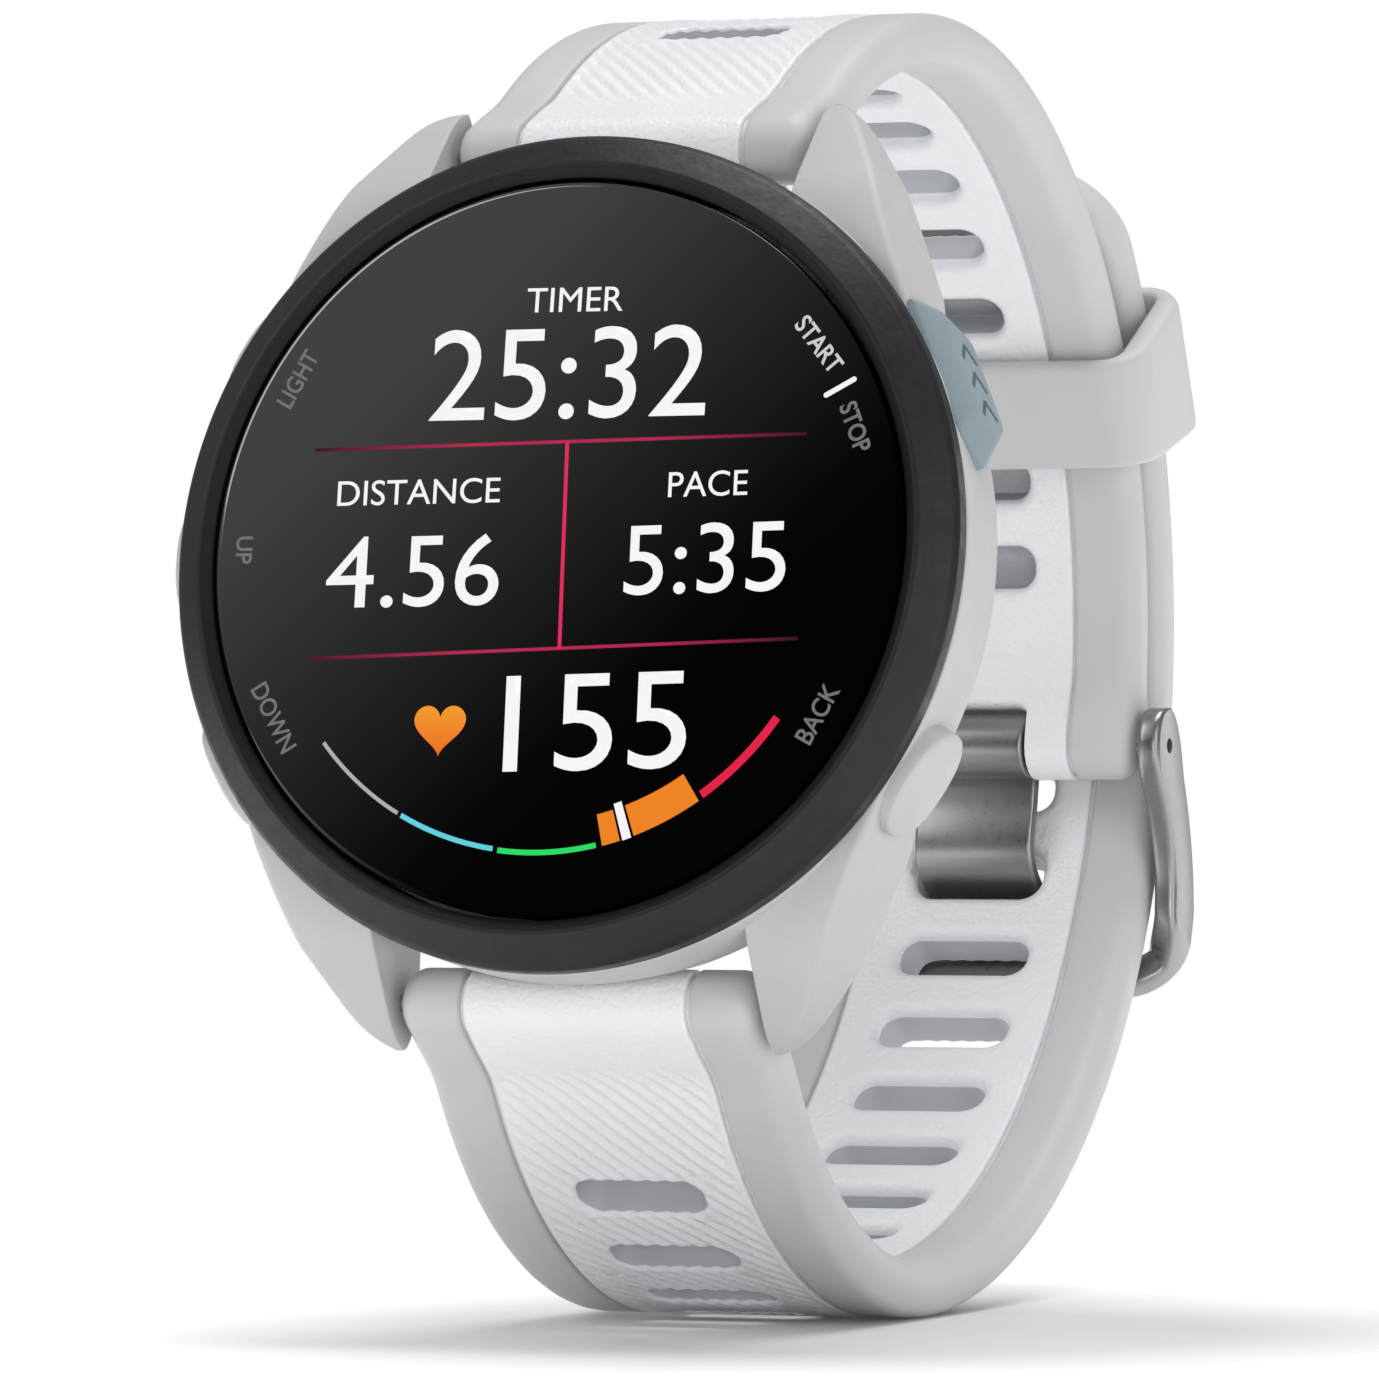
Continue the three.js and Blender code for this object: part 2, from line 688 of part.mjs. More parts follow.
for (const button of BUTTONS) {
  const place = new THREE.Group();
  place.rotation.y = -rad(button.angle);
  watch.add(place);
  add(button.name + "_button", buttonCap(button), button.wedge ? "accent" : "shell", place);
  add(button.name + "_stem", buttonStem(), "brightSteel", place);
}

add("upper_spring_bar", springBar(1), "brightSteel");
add("lower_spring_bar", springBar(-1), "brightSteel");
add("upper_release_plunger", plunger(1), "brightSteel");
add("lower_release_plunger", plunger(-1), "brightSteel");
add("upper_strap_frame", upperStrapFrame(), "shell");
add("upper_strap_core", strapCore(UPPER), "core");
add("lower_strap_frame", lowerStrapFrame(), "shell");
add("lower_strap_core", strapCore(LOWER), "core");
add("buckle_frame", buckleFrame(), "steel");
add("buckle_pin", bucklePin(), "brightSteel");
add("buckle_tongue", buckleTongue(), "steel");
add("strap_keeper", keeper(), "shell");

// Lean the watch back, then set it down on z = 0 over the middle of its footprint.
const part = new THREE.Group();
part.add(watch);
watch.rotation.x = -LEAN;
part.updateMatrixWorld(true);
const size = new THREE.Box3().setFromObject(part, true);
watch.position.set(0, -(size.min.y + size.max.y) / 2, -size.min.z);

export default part;
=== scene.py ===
"""The looks of the GPS running watch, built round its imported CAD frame.

Lengths are in millimetres in the watch's own frame until to_row() places them: x to the right
across the dial, y from the glass into the depth of the watch, z up towards twelve o'clock.
"""

import json
import math

import bmesh
import bpy
import numpy as np
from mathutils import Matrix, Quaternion, Vector


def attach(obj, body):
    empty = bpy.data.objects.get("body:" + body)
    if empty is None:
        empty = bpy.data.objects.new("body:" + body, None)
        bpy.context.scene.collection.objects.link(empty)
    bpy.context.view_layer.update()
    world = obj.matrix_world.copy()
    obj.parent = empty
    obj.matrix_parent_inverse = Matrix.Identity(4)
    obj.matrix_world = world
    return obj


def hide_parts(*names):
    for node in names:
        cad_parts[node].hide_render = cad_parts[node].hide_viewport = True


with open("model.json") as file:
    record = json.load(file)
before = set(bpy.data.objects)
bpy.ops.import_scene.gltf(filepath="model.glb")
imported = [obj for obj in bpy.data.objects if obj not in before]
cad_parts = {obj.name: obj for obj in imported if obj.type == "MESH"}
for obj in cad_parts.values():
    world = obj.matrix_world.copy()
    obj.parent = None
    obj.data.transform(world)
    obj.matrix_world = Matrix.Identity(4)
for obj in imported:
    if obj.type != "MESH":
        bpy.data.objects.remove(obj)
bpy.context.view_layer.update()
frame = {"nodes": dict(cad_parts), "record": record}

# ------------------------------------------------ the watch's frame
MM = 0.001
LEAN = math.radians(10)
MOUNTS = {m["name"]: m for m in frame["record"]["mounts"]}
ORIGIN = np.array(MOUNTS["glass_face"]["pos_m"])


def to_row(points):
    """Points of the watch's frame, in millimetres, as points of the row frame, in metres."""
    p = np.asarray(points, float)
    c, s = math.cos(LEAN), math.sin(LEAN)
    turned = np.stack([p[..., 0], c * p[..., 1] + s * p[..., 2], c * p[..., 2] - s * p[..., 1]], -1)
    return turned * MM + ORIGIN


def smoothstep(low, high, value):
    """Rises smoothly from 0 at low to 1 at high."""
    share = np.clip((np.asarray(value, float) - low) / (high - low), 0, 1)
    return share * share * (3 - 2 * share)


def add_object(name, data):
    """A new object in the scene."""
    made = bpy.data.objects.new(name, data)
    bpy.context.scene.collection.objects.link(made)
    return made


# ------------------------------------------------ meshes
def quads(rows, columns, wrap_rows=False, wrap_columns=False):
    """The faces of a grid of points numbered row by row."""
    i = np.arange(rows if wrap_rows else rows - 1)[:, None]
    j = np.arange(columns if wrap_columns else columns - 1)[None, :]
    below, beside = (i + 1) % rows, (j + 1) % columns
    corners = [(row * columns + column).ravel()
               for row, column in ((i, j), (i, beside), (below, beside), (below, j))]
    return np.stack(corners, 1).tolist()


class Shape:
    """Collects grids and solids, in calls that can be chained, then makes one piece of them."""

    def __init__(self):
        self.points = []
        self.faces = []
        self.count = 0

    def add(self, points, faces):
        """Adds points and faces numbered from the first of these points."""
        points = np.asarray(points, float).reshape(-1, 3)
        self.faces += [tuple(int(i) + self.count for i in face) for face in faces]
        self.points.append(points)
        self.count += len(points)

    def grid(self, points, wrap_rows=False, wrap_columns=False):
        """A sheet of quads over points[row, column]."""
        points = np.asarray(points, float)
        self.add(points, quads(*points.shape[:2], wrap_rows, wrap_columns))
        return self

    def solid(self, rings):
        """A closed body over rings of points, with flat ends."""
        self.grid(rings, wrap_columns=True)
        for end in (rings[0], rings[-1]):
            self.add(end, [range(len(end))])
        return self

    def mirrored(self):
        """Adds the same again on the other side of x = 0."""
        flipped = np.concatenate(self.points) * [-1, 1, 1]
        self.add(flipped, [tuple(reversed(face)) for face in self.faces])
        return self

    def build(self, name, material, slot, body="watch", replaces=(), weld=0.002, sharp=None):
        """One smooth piece that rides a body, in place of the CAD nodes that it replaces."""
        mesh = bpy.data.meshes.new(name)
        mesh.from_pydata(to_row(np.concatenate(self.points)).tolist(), [], self.faces)
        work = bmesh.new()
        work.from_mesh(mesh)
        bmesh.ops.remove_doubles(work, verts=work.verts, dist=weld * MM)
        bmesh.ops.dissolve_degenerate(work, edges=work.edges, dist=1e-8)
        bmesh.ops.recalc_face_normals(work, faces=work.faces)
        work.to_mesh(mesh)
        work.free()
        mesh.polygons.foreach_set("use_smooth", np.ones(len(mesh.polygons), bool))
        if sharp:
            mesh.set_sharp_from_angle(angle=math.radians(sharp))
        made = add_object(name, mesh)
        made.data.materials.append(material)
        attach(made, body)
        if replaces:
            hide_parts(*replaces)
        return made


def quarter(steps):
    """Sine and cosine pairs of a rounded edge, from 0 to 90 degrees."""
    turns = np.linspace(0, math.pi / 2, steps + 1)
    return list(zip(np.sin(turns), np.cos(turns)))


def full_turn(steps):
    """Angles evenly spaced over one turn."""
    return np.linspace(0, 2 * math.pi, steps, endpoint=False)


def curve(start, control, end, steps):
    """Points of a quadratic curve, both ends included."""
    return [(1 - t) ** 2 * start + 2 * t * (1 - t) * control + t * t * end
            for t in np.linspace(0, 1, steps + 1)]


def towards(here, other, distance):
    """The point at a distance from here on the way to another."""
    return here + (other - here) / np.linalg.norm(other - here) * distance


def side_of(along):
    """Unit vectors to the left of directions in a plane."""
    along = along / np.linalg.norm(along, axis=-1, keepdims=True)
    return np.stack([-along[..., 1], along[..., 0]], -1)


def lathe(profile, steps=256, axis="y", centre=(0, 0, 0)):
    """A profile of [radius, position] turned about an axis, as grid points."""
    turns = full_turn(steps)
    radius, along = (np.array(values)[:, None] + 0 * turns for values in zip(*profile))
    a, b = radius * np.cos(turns), radius * np.sin(turns)
    order = {"y": (a, along, b), "x": (along, a, b)}[axis]
    return np.stack(order, -1) + np.array(centre)


def rounded(corners, steps=5, share=0.5):
    """An outline whose corners are (a, b), or (a, b, radius) to be rounded within a share of
    the sides beside them. An open outline's two ends have no radius."""
    places = [np.array(corner[:2], float) for corner in corners]
    made = []
    for i, here in enumerate(places):
        if len(corners[i]) == 2:
            made.append(here)
            continue
        before, after = places[i - 1], places[(i + 1) % len(places)]
        cut = min(corners[i][2], np.linalg.norm(before - here) * share,
                  np.linalg.norm(after - here) * share)
        made += curve(towards(here, before, cut), here, towards(here, after, cut), steps)
    return np.array(made)


def bezier(points, steps=14):
    """An outline of quadratic curves and lines: each entry is (end,) or (control, end)."""
    made = [np.array(points[0], float)]
    for entry in points[1:]:
        if len(entry) == 1:
            made.append(np.array(entry[0], float))
        else:
            control, end = (np.array(place, float) for place in entry)
            made += curve(made[-1], control, end, steps)[1:]
    return np.array(made)


def inset(outline, distance):
    """A closed outline moved inwards by a small distance."""
    before, after = np.roll(outline, 1, 0), np.roll(outline, -1, 0)
    area = np.sum(outline[:, 0] * after[:, 1] - after[:, 0] * outline[:, 1])
    return outline + side_of(after - before) * np.sign(area) * distance


def rounded_plate(outline, x0, x1, radius, steps=4):
    """A plate with an outline in (y, z) between x0 and x1, and rounded edges."""
    rings = [(radius * (1 - sine), x0 + radius * (1 - cosine)) for sine, cosine in quarter(steps)]
    rings += [(radius * (1 - cosine), x1 - radius * (1 - sine)) for sine, cosine in quarter(steps)]
    return Shape().solid([np.insert(inset(outline, distance), 0, x, axis=1)
                          for distance, x in rings])


def turned(name, material, slot, profile, sharp, steps=360, rounding=5, replaces=()):
    """A piece turned on a lathe about the watch's own axis."""
    shape = Shape().grid(lathe(rounded(profile, rounding), steps), wrap_columns=True)
    shape.build(name, material, slot, replaces=replaces, sharp=sharp)


# ------------------------------------------------ materials
def linked(tree, kind, **values):
    """A new node with some of its inputs or settings given by name."""
    node = tree.nodes.new(kind)
    for name, value in values.items():
        if name in node.inputs:
            node.inputs[name].default_value = value
        else:
            setattr(node, name, value)
    return node


class Finish:
    """A principled material with layers of colour, roughness and bump added to it."""

    def __init__(self, name, colour, roughness, metallic=0.0, specular=0.5, coat=0.0):
        self.material = bpy.data.materials.new(name)
        self.material.use_nodes = True
        self.tree = self.material.node_tree
        self.shader = self.tree.nodes["Principled BSDF"]
        self.set("Base Color", (*colour, 1))
        self.set("Roughness", roughness)
        self.set("Metallic", metallic)
        self.set("Specular IOR Level", specular)
        self.set("Coat Weight", coat)
        self.place = self.tree.nodes.new("ShaderNodeTexCoord").outputs["Object"]
        self.last_bump = None

    def set(self, name, value):
        """Gives one of the shader's inputs a fixed value."""
        self.shader.inputs[name].default_value = value

    def link(self, source, target):
        self.tree.links.new(source, target)

    def noise(self, size_mm, detail=3.0, stretch=(1, 1, 1), distortion=0.0):
        """Cloudy noise in the object's own coordinates."""
        mapping = linked(self.tree, "ShaderNodeMapping", Scale=stretch)
        self.link(self.place, mapping.inputs["Vector"])
        node = linked(self.tree, "ShaderNodeTexNoise", Scale=1 / (size_mm * MM), Detail=detail,
                      Distortion=distortion)
        self.link(mapping.outputs["Vector"], node.inputs["Vector"])
        return node.outputs["Fac"]

    def cells(self, size_mm):
        """Distance from the middles of small, soft cells."""
        node = linked(self.tree, "ShaderNodeTexVoronoi", Scale=1 / (size_mm * MM))
        node.feature = "SMOOTH_F1"
        self.link(self.place, node.inputs["Vector"])
        return node.outputs["Distance"]

    def axes(self):
        """The object's coordinates, one by one."""
        split = self.tree.nodes.new("ShaderNodeSeparateXYZ")
        self.link(self.place, split.inputs["Vector"])
        return split.outputs

    def ramp(self, source, low, high, a, b):
        """Maps low and high of a source to a and b."""
        node = linked(self.tree, "ShaderNodeMapRange",
                      **{"From Min": low, "From Max": high, "To Min": a, "To Max": b})
        self.link(source, node.inputs["Value"])
        return node.outputs["Result"]

    def mix(self, factor, a, b):
        """A colour from a to b."""
        node = linked(self.tree, "ShaderNodeMix", data_type="RGBA", A=(*a, 1), B=(*b, 1))
        self.link(factor, node.inputs["Factor"])
        return node.outputs["Result"]

    def colours(self, source, a, b, low=0.3, high=0.7):
        self.link(self.mix(self.ramp(source, low, high, 0, 1), a, b),
                  self.shader.inputs["Base Color"])

    def rough(self, source, a, b, low=0.3, high=0.7):
        self.link(self.ramp(source, low, high, a, b), self.shader.inputs["Roughness"])

    def bump(self, source, depth_mm, strength):
        """Adds relief over the relief that is already there."""
        node = linked(self.tree, "ShaderNodeBump", Strength=strength, Distance=depth_mm * MM)
        self.link(source, node.inputs["Height"])
        if self.last_bump:
            self.link(self.last_bump, node.inputs["Normal"])
        self.last_bump = node.outputs["Normal"]
        self.link(self.last_bump, self.shader.inputs["Normal"])


def silicone(name, light, dark, depth, roughness=0.5, size=0.2):
    """Moulded silicone with a grain of a size and depth in millimetres."""
    made = Finish(name, light, roughness, specular=0.4)
    made.colours(made.noise(9), dark, light)
    made.rough(made.noise(3), roughness - 0.02, roughness + 0.03)
    made.bump(made.noise(size, detail=1), depth, 0.8)
    return made.material


def grained(name, light, dark, size, depth, roughness, specular=0.4):
    """Polymer from a spark-eroded mould: soft cells with finer noise over them."""
    made = Finish(name, light, roughness, specular=specular)
    made.colours(made.noise(6), dark, light)
    made.rough(made.noise(0.8), roughness - 0.06, roughness + 0.08)
    made.bump(made.cells(size), depth, 0.7)
    made.bump(made.noise(size * 1.7, detail=4, distortion=0.6), depth, 0.6)
    return made.material


def turned_steel(name, light, dark, roughness):
    """Bright steel with fine lines, as turned about an axis across the watch."""
    made = Finish(name, light, roughness, metallic=1.0)
    lines = made.noise(0.05, stretch=(1, 0.05, 0.05))
    made.colours(lines, dark, light, 0.35, 0.65)
    made.rough(lines, roughness - 0.04, roughness + 0.06)
    made.bump(lines, 0.0005, 0.25)
    return made.material


def plain(name, light, dark, roughness, metallic=0.0, specular=0.5, coat=0.0, grain=0.5):
    """A smooth material with faint spots of a size in millimetres."""
    made = Finish(name, light, roughness, metallic, specular, coat)
    spots = made.noise(grain)
    made.colours(spots, dark, light)
    made.rough(spots, max(roughness - 0.03, 0.01), roughness + 0.05)
    return made.material


def glowing(name, colour, fades=None, low=None, span=None):
    """A lit part of the picture. It may fade out towards x = -fades and x = fades, or change
    to a second colour over a span of heights."""
    made = Finish(name, (0, 0, 0), 0.3, specular=0.2)
    made.set("Emission Color", (*colour, 1))
    made.set("Emission Strength", 1.0)
    if fades:
        size = linked(made.tree, "ShaderNodeMath", operation="ABSOLUTE")
        made.link(made.axes()["X"], size.inputs[0])
        strength = made.ramp(size.outputs["Value"], fades * 0.35 * MM, fades * MM, 0.75, 0.03)
        made.link(strength, made.shader.inputs["Emission Strength"])
    if low:
        height = made.ramp(made.axes()["Z"], *span, 0, 1)
        made.link(made.mix(height, low, colour), made.shader.inputs["Emission Color"])
    return made.material


def dark_glass(name):
    """Black glass with a painted reflection: its reflectivity rises towards its upper left, set by
    place, standing in for the studio light's reflection.
    """
    slant, strongest = -0.9, 0.95
    bottom, top = ORIGIN[2] - 0.014, ORIGIN[2] + 0.018
    made = Finish(name, (0.0012, 0.0012, 0.0014), 0.05, specular=0.4)
    made.set("IOR", 1.8)
    # painted reflection: the specular level grows along a slant from lower right to upper left
    slope = linked(made.tree, "ShaderNodeMath", operation="MULTIPLY_ADD")
    slope.inputs[1].default_value = slant
    axes = made.axes()
    made.link(axes["X"], slope.inputs[0])
    made.link(axes["Z"], slope.inputs[2])
    bend = linked(made.tree, "ShaderNodeMath", operation="POWER")
    bend.inputs[1].default_value = 1.7
    made.link(made.ramp(slope.outputs["Value"], bottom, top, 0, 1), bend.inputs[0])
    made.link(made.ramp(bend.outputs["Value"], 0, 1, 0, strongest),
              made.shader.inputs["Specular IOR Level"])
    made.rough(made.noise(3), 0.04, 0.07)
    return made.material


GREY_SILICONE = silicone("grey_silicone", (0.58, 0.58, 0.578), (0.55, 0.55, 0.548), 0.004)
WHITE_SILICONE = silicone("white_silicone", (0.85, 0.86, 0.885), (0.81, 0.823, 0.852), 0.1,
                          0.33, 0.3)
# painted shade: the slots' walls get a darker, bluer grey for the shade inside the slots
SLOT_PAINTED_SHADE = silicone("slot_painted_shade", (0.5, 0.52, 0.55), (0.45, 0.47, 0.5), 0.006, 0.55)
CASE_PLASTIC = grained("case_polymer", (0.52, 0.52, 0.518), (0.49, 0.49, 0.488), 0.3, 0.016, 0.5)
BEZEL_PLASTIC = grained("bezel_polymer", (0.012, 0.012, 0.012), (0.007, 0.007, 0.007), 0.32,
                        0.016, 0.42, specular=0.32)
BEZEL_INNER = plain("bezel_inner_edge", (0.006, 0.006, 0.006), (0.004, 0.004, 0.004), 0.5,
                    specular=0.2)
ACCENT = grained("accent_blue_grey", (0.26, 0.335, 0.365), (0.23, 0.3, 0.33), 0.2, 0.004, 0.42)
ACCENT_DARK = plain("accent_engraved", (0.07, 0.11, 0.14), (0.055, 0.09, 0.12), 0.5)
DARK_STEEL = plain("blasted_dark_steel", (0.3, 0.3, 0.3), (0.287, 0.287, 0.287), 0.3,
                   metallic=1.0, grain=0.25)
BRIGHT_STEEL = turned_steel("turned_steel", (0.62, 0.62, 0.63), (0.5, 0.5, 0.51), 0.25)
GLASS_BLACK = dark_glass("dark_glass")
LENS_BLACK = plain("sensor_lens", (0.004, 0.004, 0.006), (0.003, 0.003, 0.004), 0.06, coat=0.5)
SEAL = plain("seal_rubber", (0.02, 0.02, 0.022), (0.014, 0.014, 0.015), 0.6)
GOLD = plain("gold_contact", (0.8, 0.56, 0.26), (0.7, 0.48, 0.2), 0.22, metallic=1.0)
BOARD = plain("circuit_board", (0.02, 0.1, 0.05), (0.012, 0.07, 0.035), 0.45, grain=1.5)
CELL = plain("battery_pouch", (0.42, 0.43, 0.46), (0.34, 0.35, 0.38), 0.4, metallic=0.7, grain=2)
# painted shade for the buckle's pin holes
HOLE_BLACK = plain("hole_shadow", (0.006, 0.006, 0.006), (0.004, 0.004, 0.004), 0.8)


# ------------------------------------------------ CAD nodes that stay
def dress(material, bevel, *nodes):
    """Gives CAD nodes a finish, and soft edges of a width in millimetres unless it is 0."""
    for node in nodes:
        made = frame["nodes"][node]
        made.data.materials.clear()
        made.data.materials.append(material)
        made.data.polygons.foreach_set("use_smooth", np.ones(len(made.data.polygons), bool))
        weld = made.modifiers.new("weld", "WELD")
        weld.merge_threshold = 2e-6
        if bevel:
            merge = made.modifiers.new("merge_flat_facets", "DECIMATE")
            merge.decimate_type = "DISSOLVE"
            merge.angle_limit = math.radians(2)
            edge = made.modifiers.new("soft_edges", "BEVEL")
            edge.width = bevel * MM
            edge.segments = 2
            edge.limit_method = "ANGLE"
            edge.angle_limit = math.radians(28)
            edge.harden_normals = True
            edge.miter_outer = "MITER_ARC"
        normals = made.modifiers.new("normals", "WEIGHTED_NORMAL")
        normals.keep_sharp = True


dress(CASE_PLASTIC, 0.12, "rear_cover")
dress(SEAL, 0.1, "charging_port")
dress(SEAL, 0, "front_gasket", "rear_gasket", "display_module")
dress(GOLD, 0.08, *(f"charging_contact_{i}" for i in range(1, 5)))
dress(GOLD, 0, "antenna_ring", "buzzer")
dress(BOARD, 0, "main_board", "sensor_board")
dress(CELL, 0, "battery")
dress(BRIGHT_STEEL, 0, "vibration_motor", "start_stop_stem", "back_stem", "light_stem",
      "up_stem", "down_stem")
dress(BRIGHT_STEEL, 0.05, *(f"rear_screw_{i}" for i in range(1, 5)))
dress(BRIGHT_STEEL, 0.08, *(end + piece for end in ("upper", "lower")
                            for piece in ("_spring_bar", "_release_plunger")))
dress(BRIGHT_STEEL, 0.1, "buckle_pin")


# ------------------------------------------------ case and lugs
CASE_R = 21.5
CASE_FRONT, CASE_BACK = 2.45, 9.6
BEZEL_SEAT_R = 20.25
COVER_SEAT_R = 18.95
BAR_Y, BAR_Z = 8.1, 22.2
LUG_INNER = 10.3
LUG_ROOT, LUG_SHOULDER, LUG_CROWN = 7, 23, 1.55  # from inside the case to the rounded top
COVER_RIM = 19.0  # the lugs leave the rear cover's edge free
TAPER_R = 19.6  # the case's radius at its back, where the lugs blend into it
SCOOP_R = 2.3  # clearance round the strap's barrel


def scooped(points):
    """Pulls the case's rim clear of the strap barrels between the lugs."""
    x, y, z = points[..., 0], points[..., 1], points[..., 2]
    off = y - BAR_Y
    inside = (np.abs(x) < LUG_INNER + 0.2) & (np.abs(off) < SCOOP_R)
    limit = BAR_Z - np.sqrt(np.clip(SCOOP_R ** 2 - off ** 2, 0, None))
    cut = inside & (np.abs(z) > limit)
    return np.stack([x, y, np.where(cut, np.sign(z) * limit, z)], -1)


def case_ring():
    """The case's wall, in steps fine enough for the scoops."""
    profile = rounded([
        (18.0, 3.7), (BEZEL_SEAT_R, 3.7), (BEZEL_SEAT_R, CASE_FRONT), (CASE_R, CASE_FRONT, 0.2),
        (CASE_R, 6.2, 1.2), (21.2, 7.5, 0.8), (20.4, 8.7, 0.8), (19.5, CASE_BACK, 0.3),
        (COVER_SEAT_R, CASE_BACK), (COVER_SEAT_R, 8.0), (18.0, 8.0), (18.0, 3.7)], 8)
    fine = []
    for start, end in zip(profile, profile[1:]):
        steps = max(1, int(np.linalg.norm(end - start) / 0.25))
        fine += [start + (end - start) * i / steps for i in range(steps)]
    fine.append(profile[-1])
    return scooped(lathe(fine, 400))


LUG_FACE = bezier([(17.9, 12), ((16.2, 16.3), (14.5, 20)), ((13.0, 22.4),),
                   ((11.9, 24.2), (10.6, 24.6))], 12)
LUG_FRONT = bezier([(CASE_FRONT, 12), ((CASE_FRONT, 14.8),), ((3, 18.2), (4, 19.7)),
                    ((6.6, 23.2),), ((7.6, 24.4), (8.6, 24.5))], 12)
LUG_BACK = bezier([(CASE_BACK, 12), ((10.2, 20),), ((10.4, 24.45), (8.7, 24.5))], 12)


def lug_section(z):
    """The lug's rounded outline at a height z."""
    outer, front, back = (float(np.interp(z, edge[:, 1], edge[:, 0]))
                          for edge in (LUG_FACE, LUG_FRONT, LUG_BACK))
    if z < 12:
        outer = min(outer, math.sqrt((CASE_R - 0.1) ** 2 - z ** 2))
    tapered = math.sqrt(max(TAPER_R ** 2 - z ** 2, 0))
    blend = float(smoothstep(7.5, 14.5, z))
    back_outer = min(tapered * (1 - blend) + (outer - 0.25) * blend, outer - 0.2)
    back_inner = max(LUG_INNER, math.sqrt(max(COVER_RIM ** 2 - z ** 2, 0)))
    corners = [(LUG_INNER, front, 0.15), (outer, front, 0.5), (back_outer, back, 0.9),
               (min(back_inner, back_outer - 0.3), back, 0.4)]
    return [(x, y, z) for x, y in rounded(corners, 6, 0.45)]


def case_shell():
    """The case's wall with its four lugs."""
    crown = LUG_SHOULDER + LUG_CROWN * np.sin(np.linspace(0.1, math.pi / 2, 14))
    levels = np.concatenate([np.linspace(LUG_ROOT, LUG_SHOULDER, 50), crown])
    lug = np.array([lug_section(z) for z in levels])
    shape = Shape().grid(case_ring(), wrap_columns=True)
    for side in (1, -1):
        for end in (1, -1):
            shape.solid(lug * [side, 1, end])
    return shape


case_shell().build("case_shell", CASE_PLASTIC, "case_shell", replaces=["case_body"], sharp=32)
turned("heart_rate_window", LENS_BLACK, "lens", [
    (0.001, 8.9), (12, 8.9), (12, 10.65, 0.15), (11.4, 11.2, 0.5), (9.8, 11.58, 0.9), (6, 11.6),
    (0.001, 11.6)], 40, steps=256, rounding=8, replaces=["sensor_window"])


# ------------------------------------------------ buttons
BUTTON_Y = 4.5
CAP_ROOT = 20.8  # inside the case wall, pressed or not
ROUND_BUTTONS = {"back": -31, "light": 150, "up": 180, "down": 210}
PEBBLE_HALF_TALL, PEBBLE_HALF_DEEP = 3.0, 2.4
PEBBLE_POWER = 2.3  # above 2, fuller than an ellipse
PEBBLE_RINGS = ((CAP_ROOT, 1), (22.12, 1), (22.22, 0.985), (22.3, 0.95), (22.36, 0.88),
                (22.46, 0.7), (22.55, 0.45), (22.6, 0.2), (22.61, 0.01))


def on_rim(radial, y, tangential, degrees):
    """Points beside the case at an angle round it from three o'clock."""
    c, s = math.cos(math.radians(degrees)), math.sin(math.radians(degrees))
    return np.stack([c * radial - s * tangential, y, s * radial + c * tangential], -1)


def pebble(degrees):
    """A button cap with a flat side wall and a gently domed face."""
    across, along = np.cos(full_turn(96)), np.sin(full_turn(96))
    fuller = (np.abs(across) ** PEBBLE_POWER + np.abs(along) ** PEBBLE_POWER) ** (-1 / PEBBLE_POWER)
    rings = []
    for reach, scale in PEBBLE_RINGS:
        y = BUTTON_Y + 0.4 + PEBBLE_HALF_DEEP * across * fuller * scale
        rings.append(on_rim(reach, y, PEBBLE_HALF_TALL * along * fuller * scale, degrees))
    return Shape().solid(rings)


for button, degrees in ROUND_BUTTONS.items():
    pebble(degrees).build(button + "_pebble", CASE_PLASTIC, "case_shell", button + "_press",
                          [button + "_button"], sharp=40)


WEDGE_ANGLE = 24
WEDGE_CENTRE = np.array([5.6, 0])
WEDGE_CORNERS = [(2.5, -2.7), (4.3, -4.6), (6.8, -3.1), (6.8, 3.4), (2.5, 4.8)]
WEDGE_RINGS = ((CAP_ROOT, 1), (21.4, 1), (21.52, 0.98), (22.3, 0.8), (22.42, 0.77), (22.47, 0.72))
WEDGE_ROUND = 0.35
MARK_Y, MARK_REACH, MARK_RISE, MARK_PITCH = 4.9, 0.95, 0.45, 1.6
MARK_HALF_WIDTH = 0.14


def wedge_ring(scale):
    """The button's rounded outline in (y, tangential), scaled about its face's middle."""
    corners = WEDGE_CENTRE + (np.array(WEDGE_CORNERS) - WEDGE_CENTRE) * scale
    made = []
    for before, here, after in zip(np.roll(corners, 1, 0), corners, np.roll(corners, -1, 0)):
        end = towards(here, after, WEDGE_ROUND)
        far = towards(after, here, WEDGE_ROUND)
        made += curve(towards(here, before, WEDGE_ROUND), here, end, 5)
        made += [end + (far - end) * t for t in np.linspace(0, 1, 8)[1:-1]]
    return np.array(made)


def wedge():
    """The start and stop button's faceted cap."""
    return Shape().solid([on_rim(reach, *wedge_ring(scale).T, WEDGE_ANGLE)
                          for reach, scale in WEDGE_RINGS])


def chevrons():
    """Three plain chevrons on the cap's face, in place of a word."""
    shape = Shape()
    for middle in (-MARK_PITCH, 0, MARK_PITCH):
        for side in (1, -1):
            a = np.array([MARK_Y, middle + MARK_RISE])
            b = np.array([MARK_Y + side * MARK_REACH, middle - MARK_RISE])
            across = side_of(b - a) * MARK_HALF_WIDTH
            ring = np.array([a - across, b - across, b + across, a + across])
            shape.solid([on_rim(reach, *ring.T, WEDGE_ANGLE) for reach in (22.3, 22.49)])
    return shape


wedge().build("start_stop_wedge", ACCENT, "accent", "start_stop_press", ["start_stop_button"],
              sharp=30)
chevrons().build("start_stop_marks", ACCENT_DARK, "accent", "start_stop_press", sharp=30)


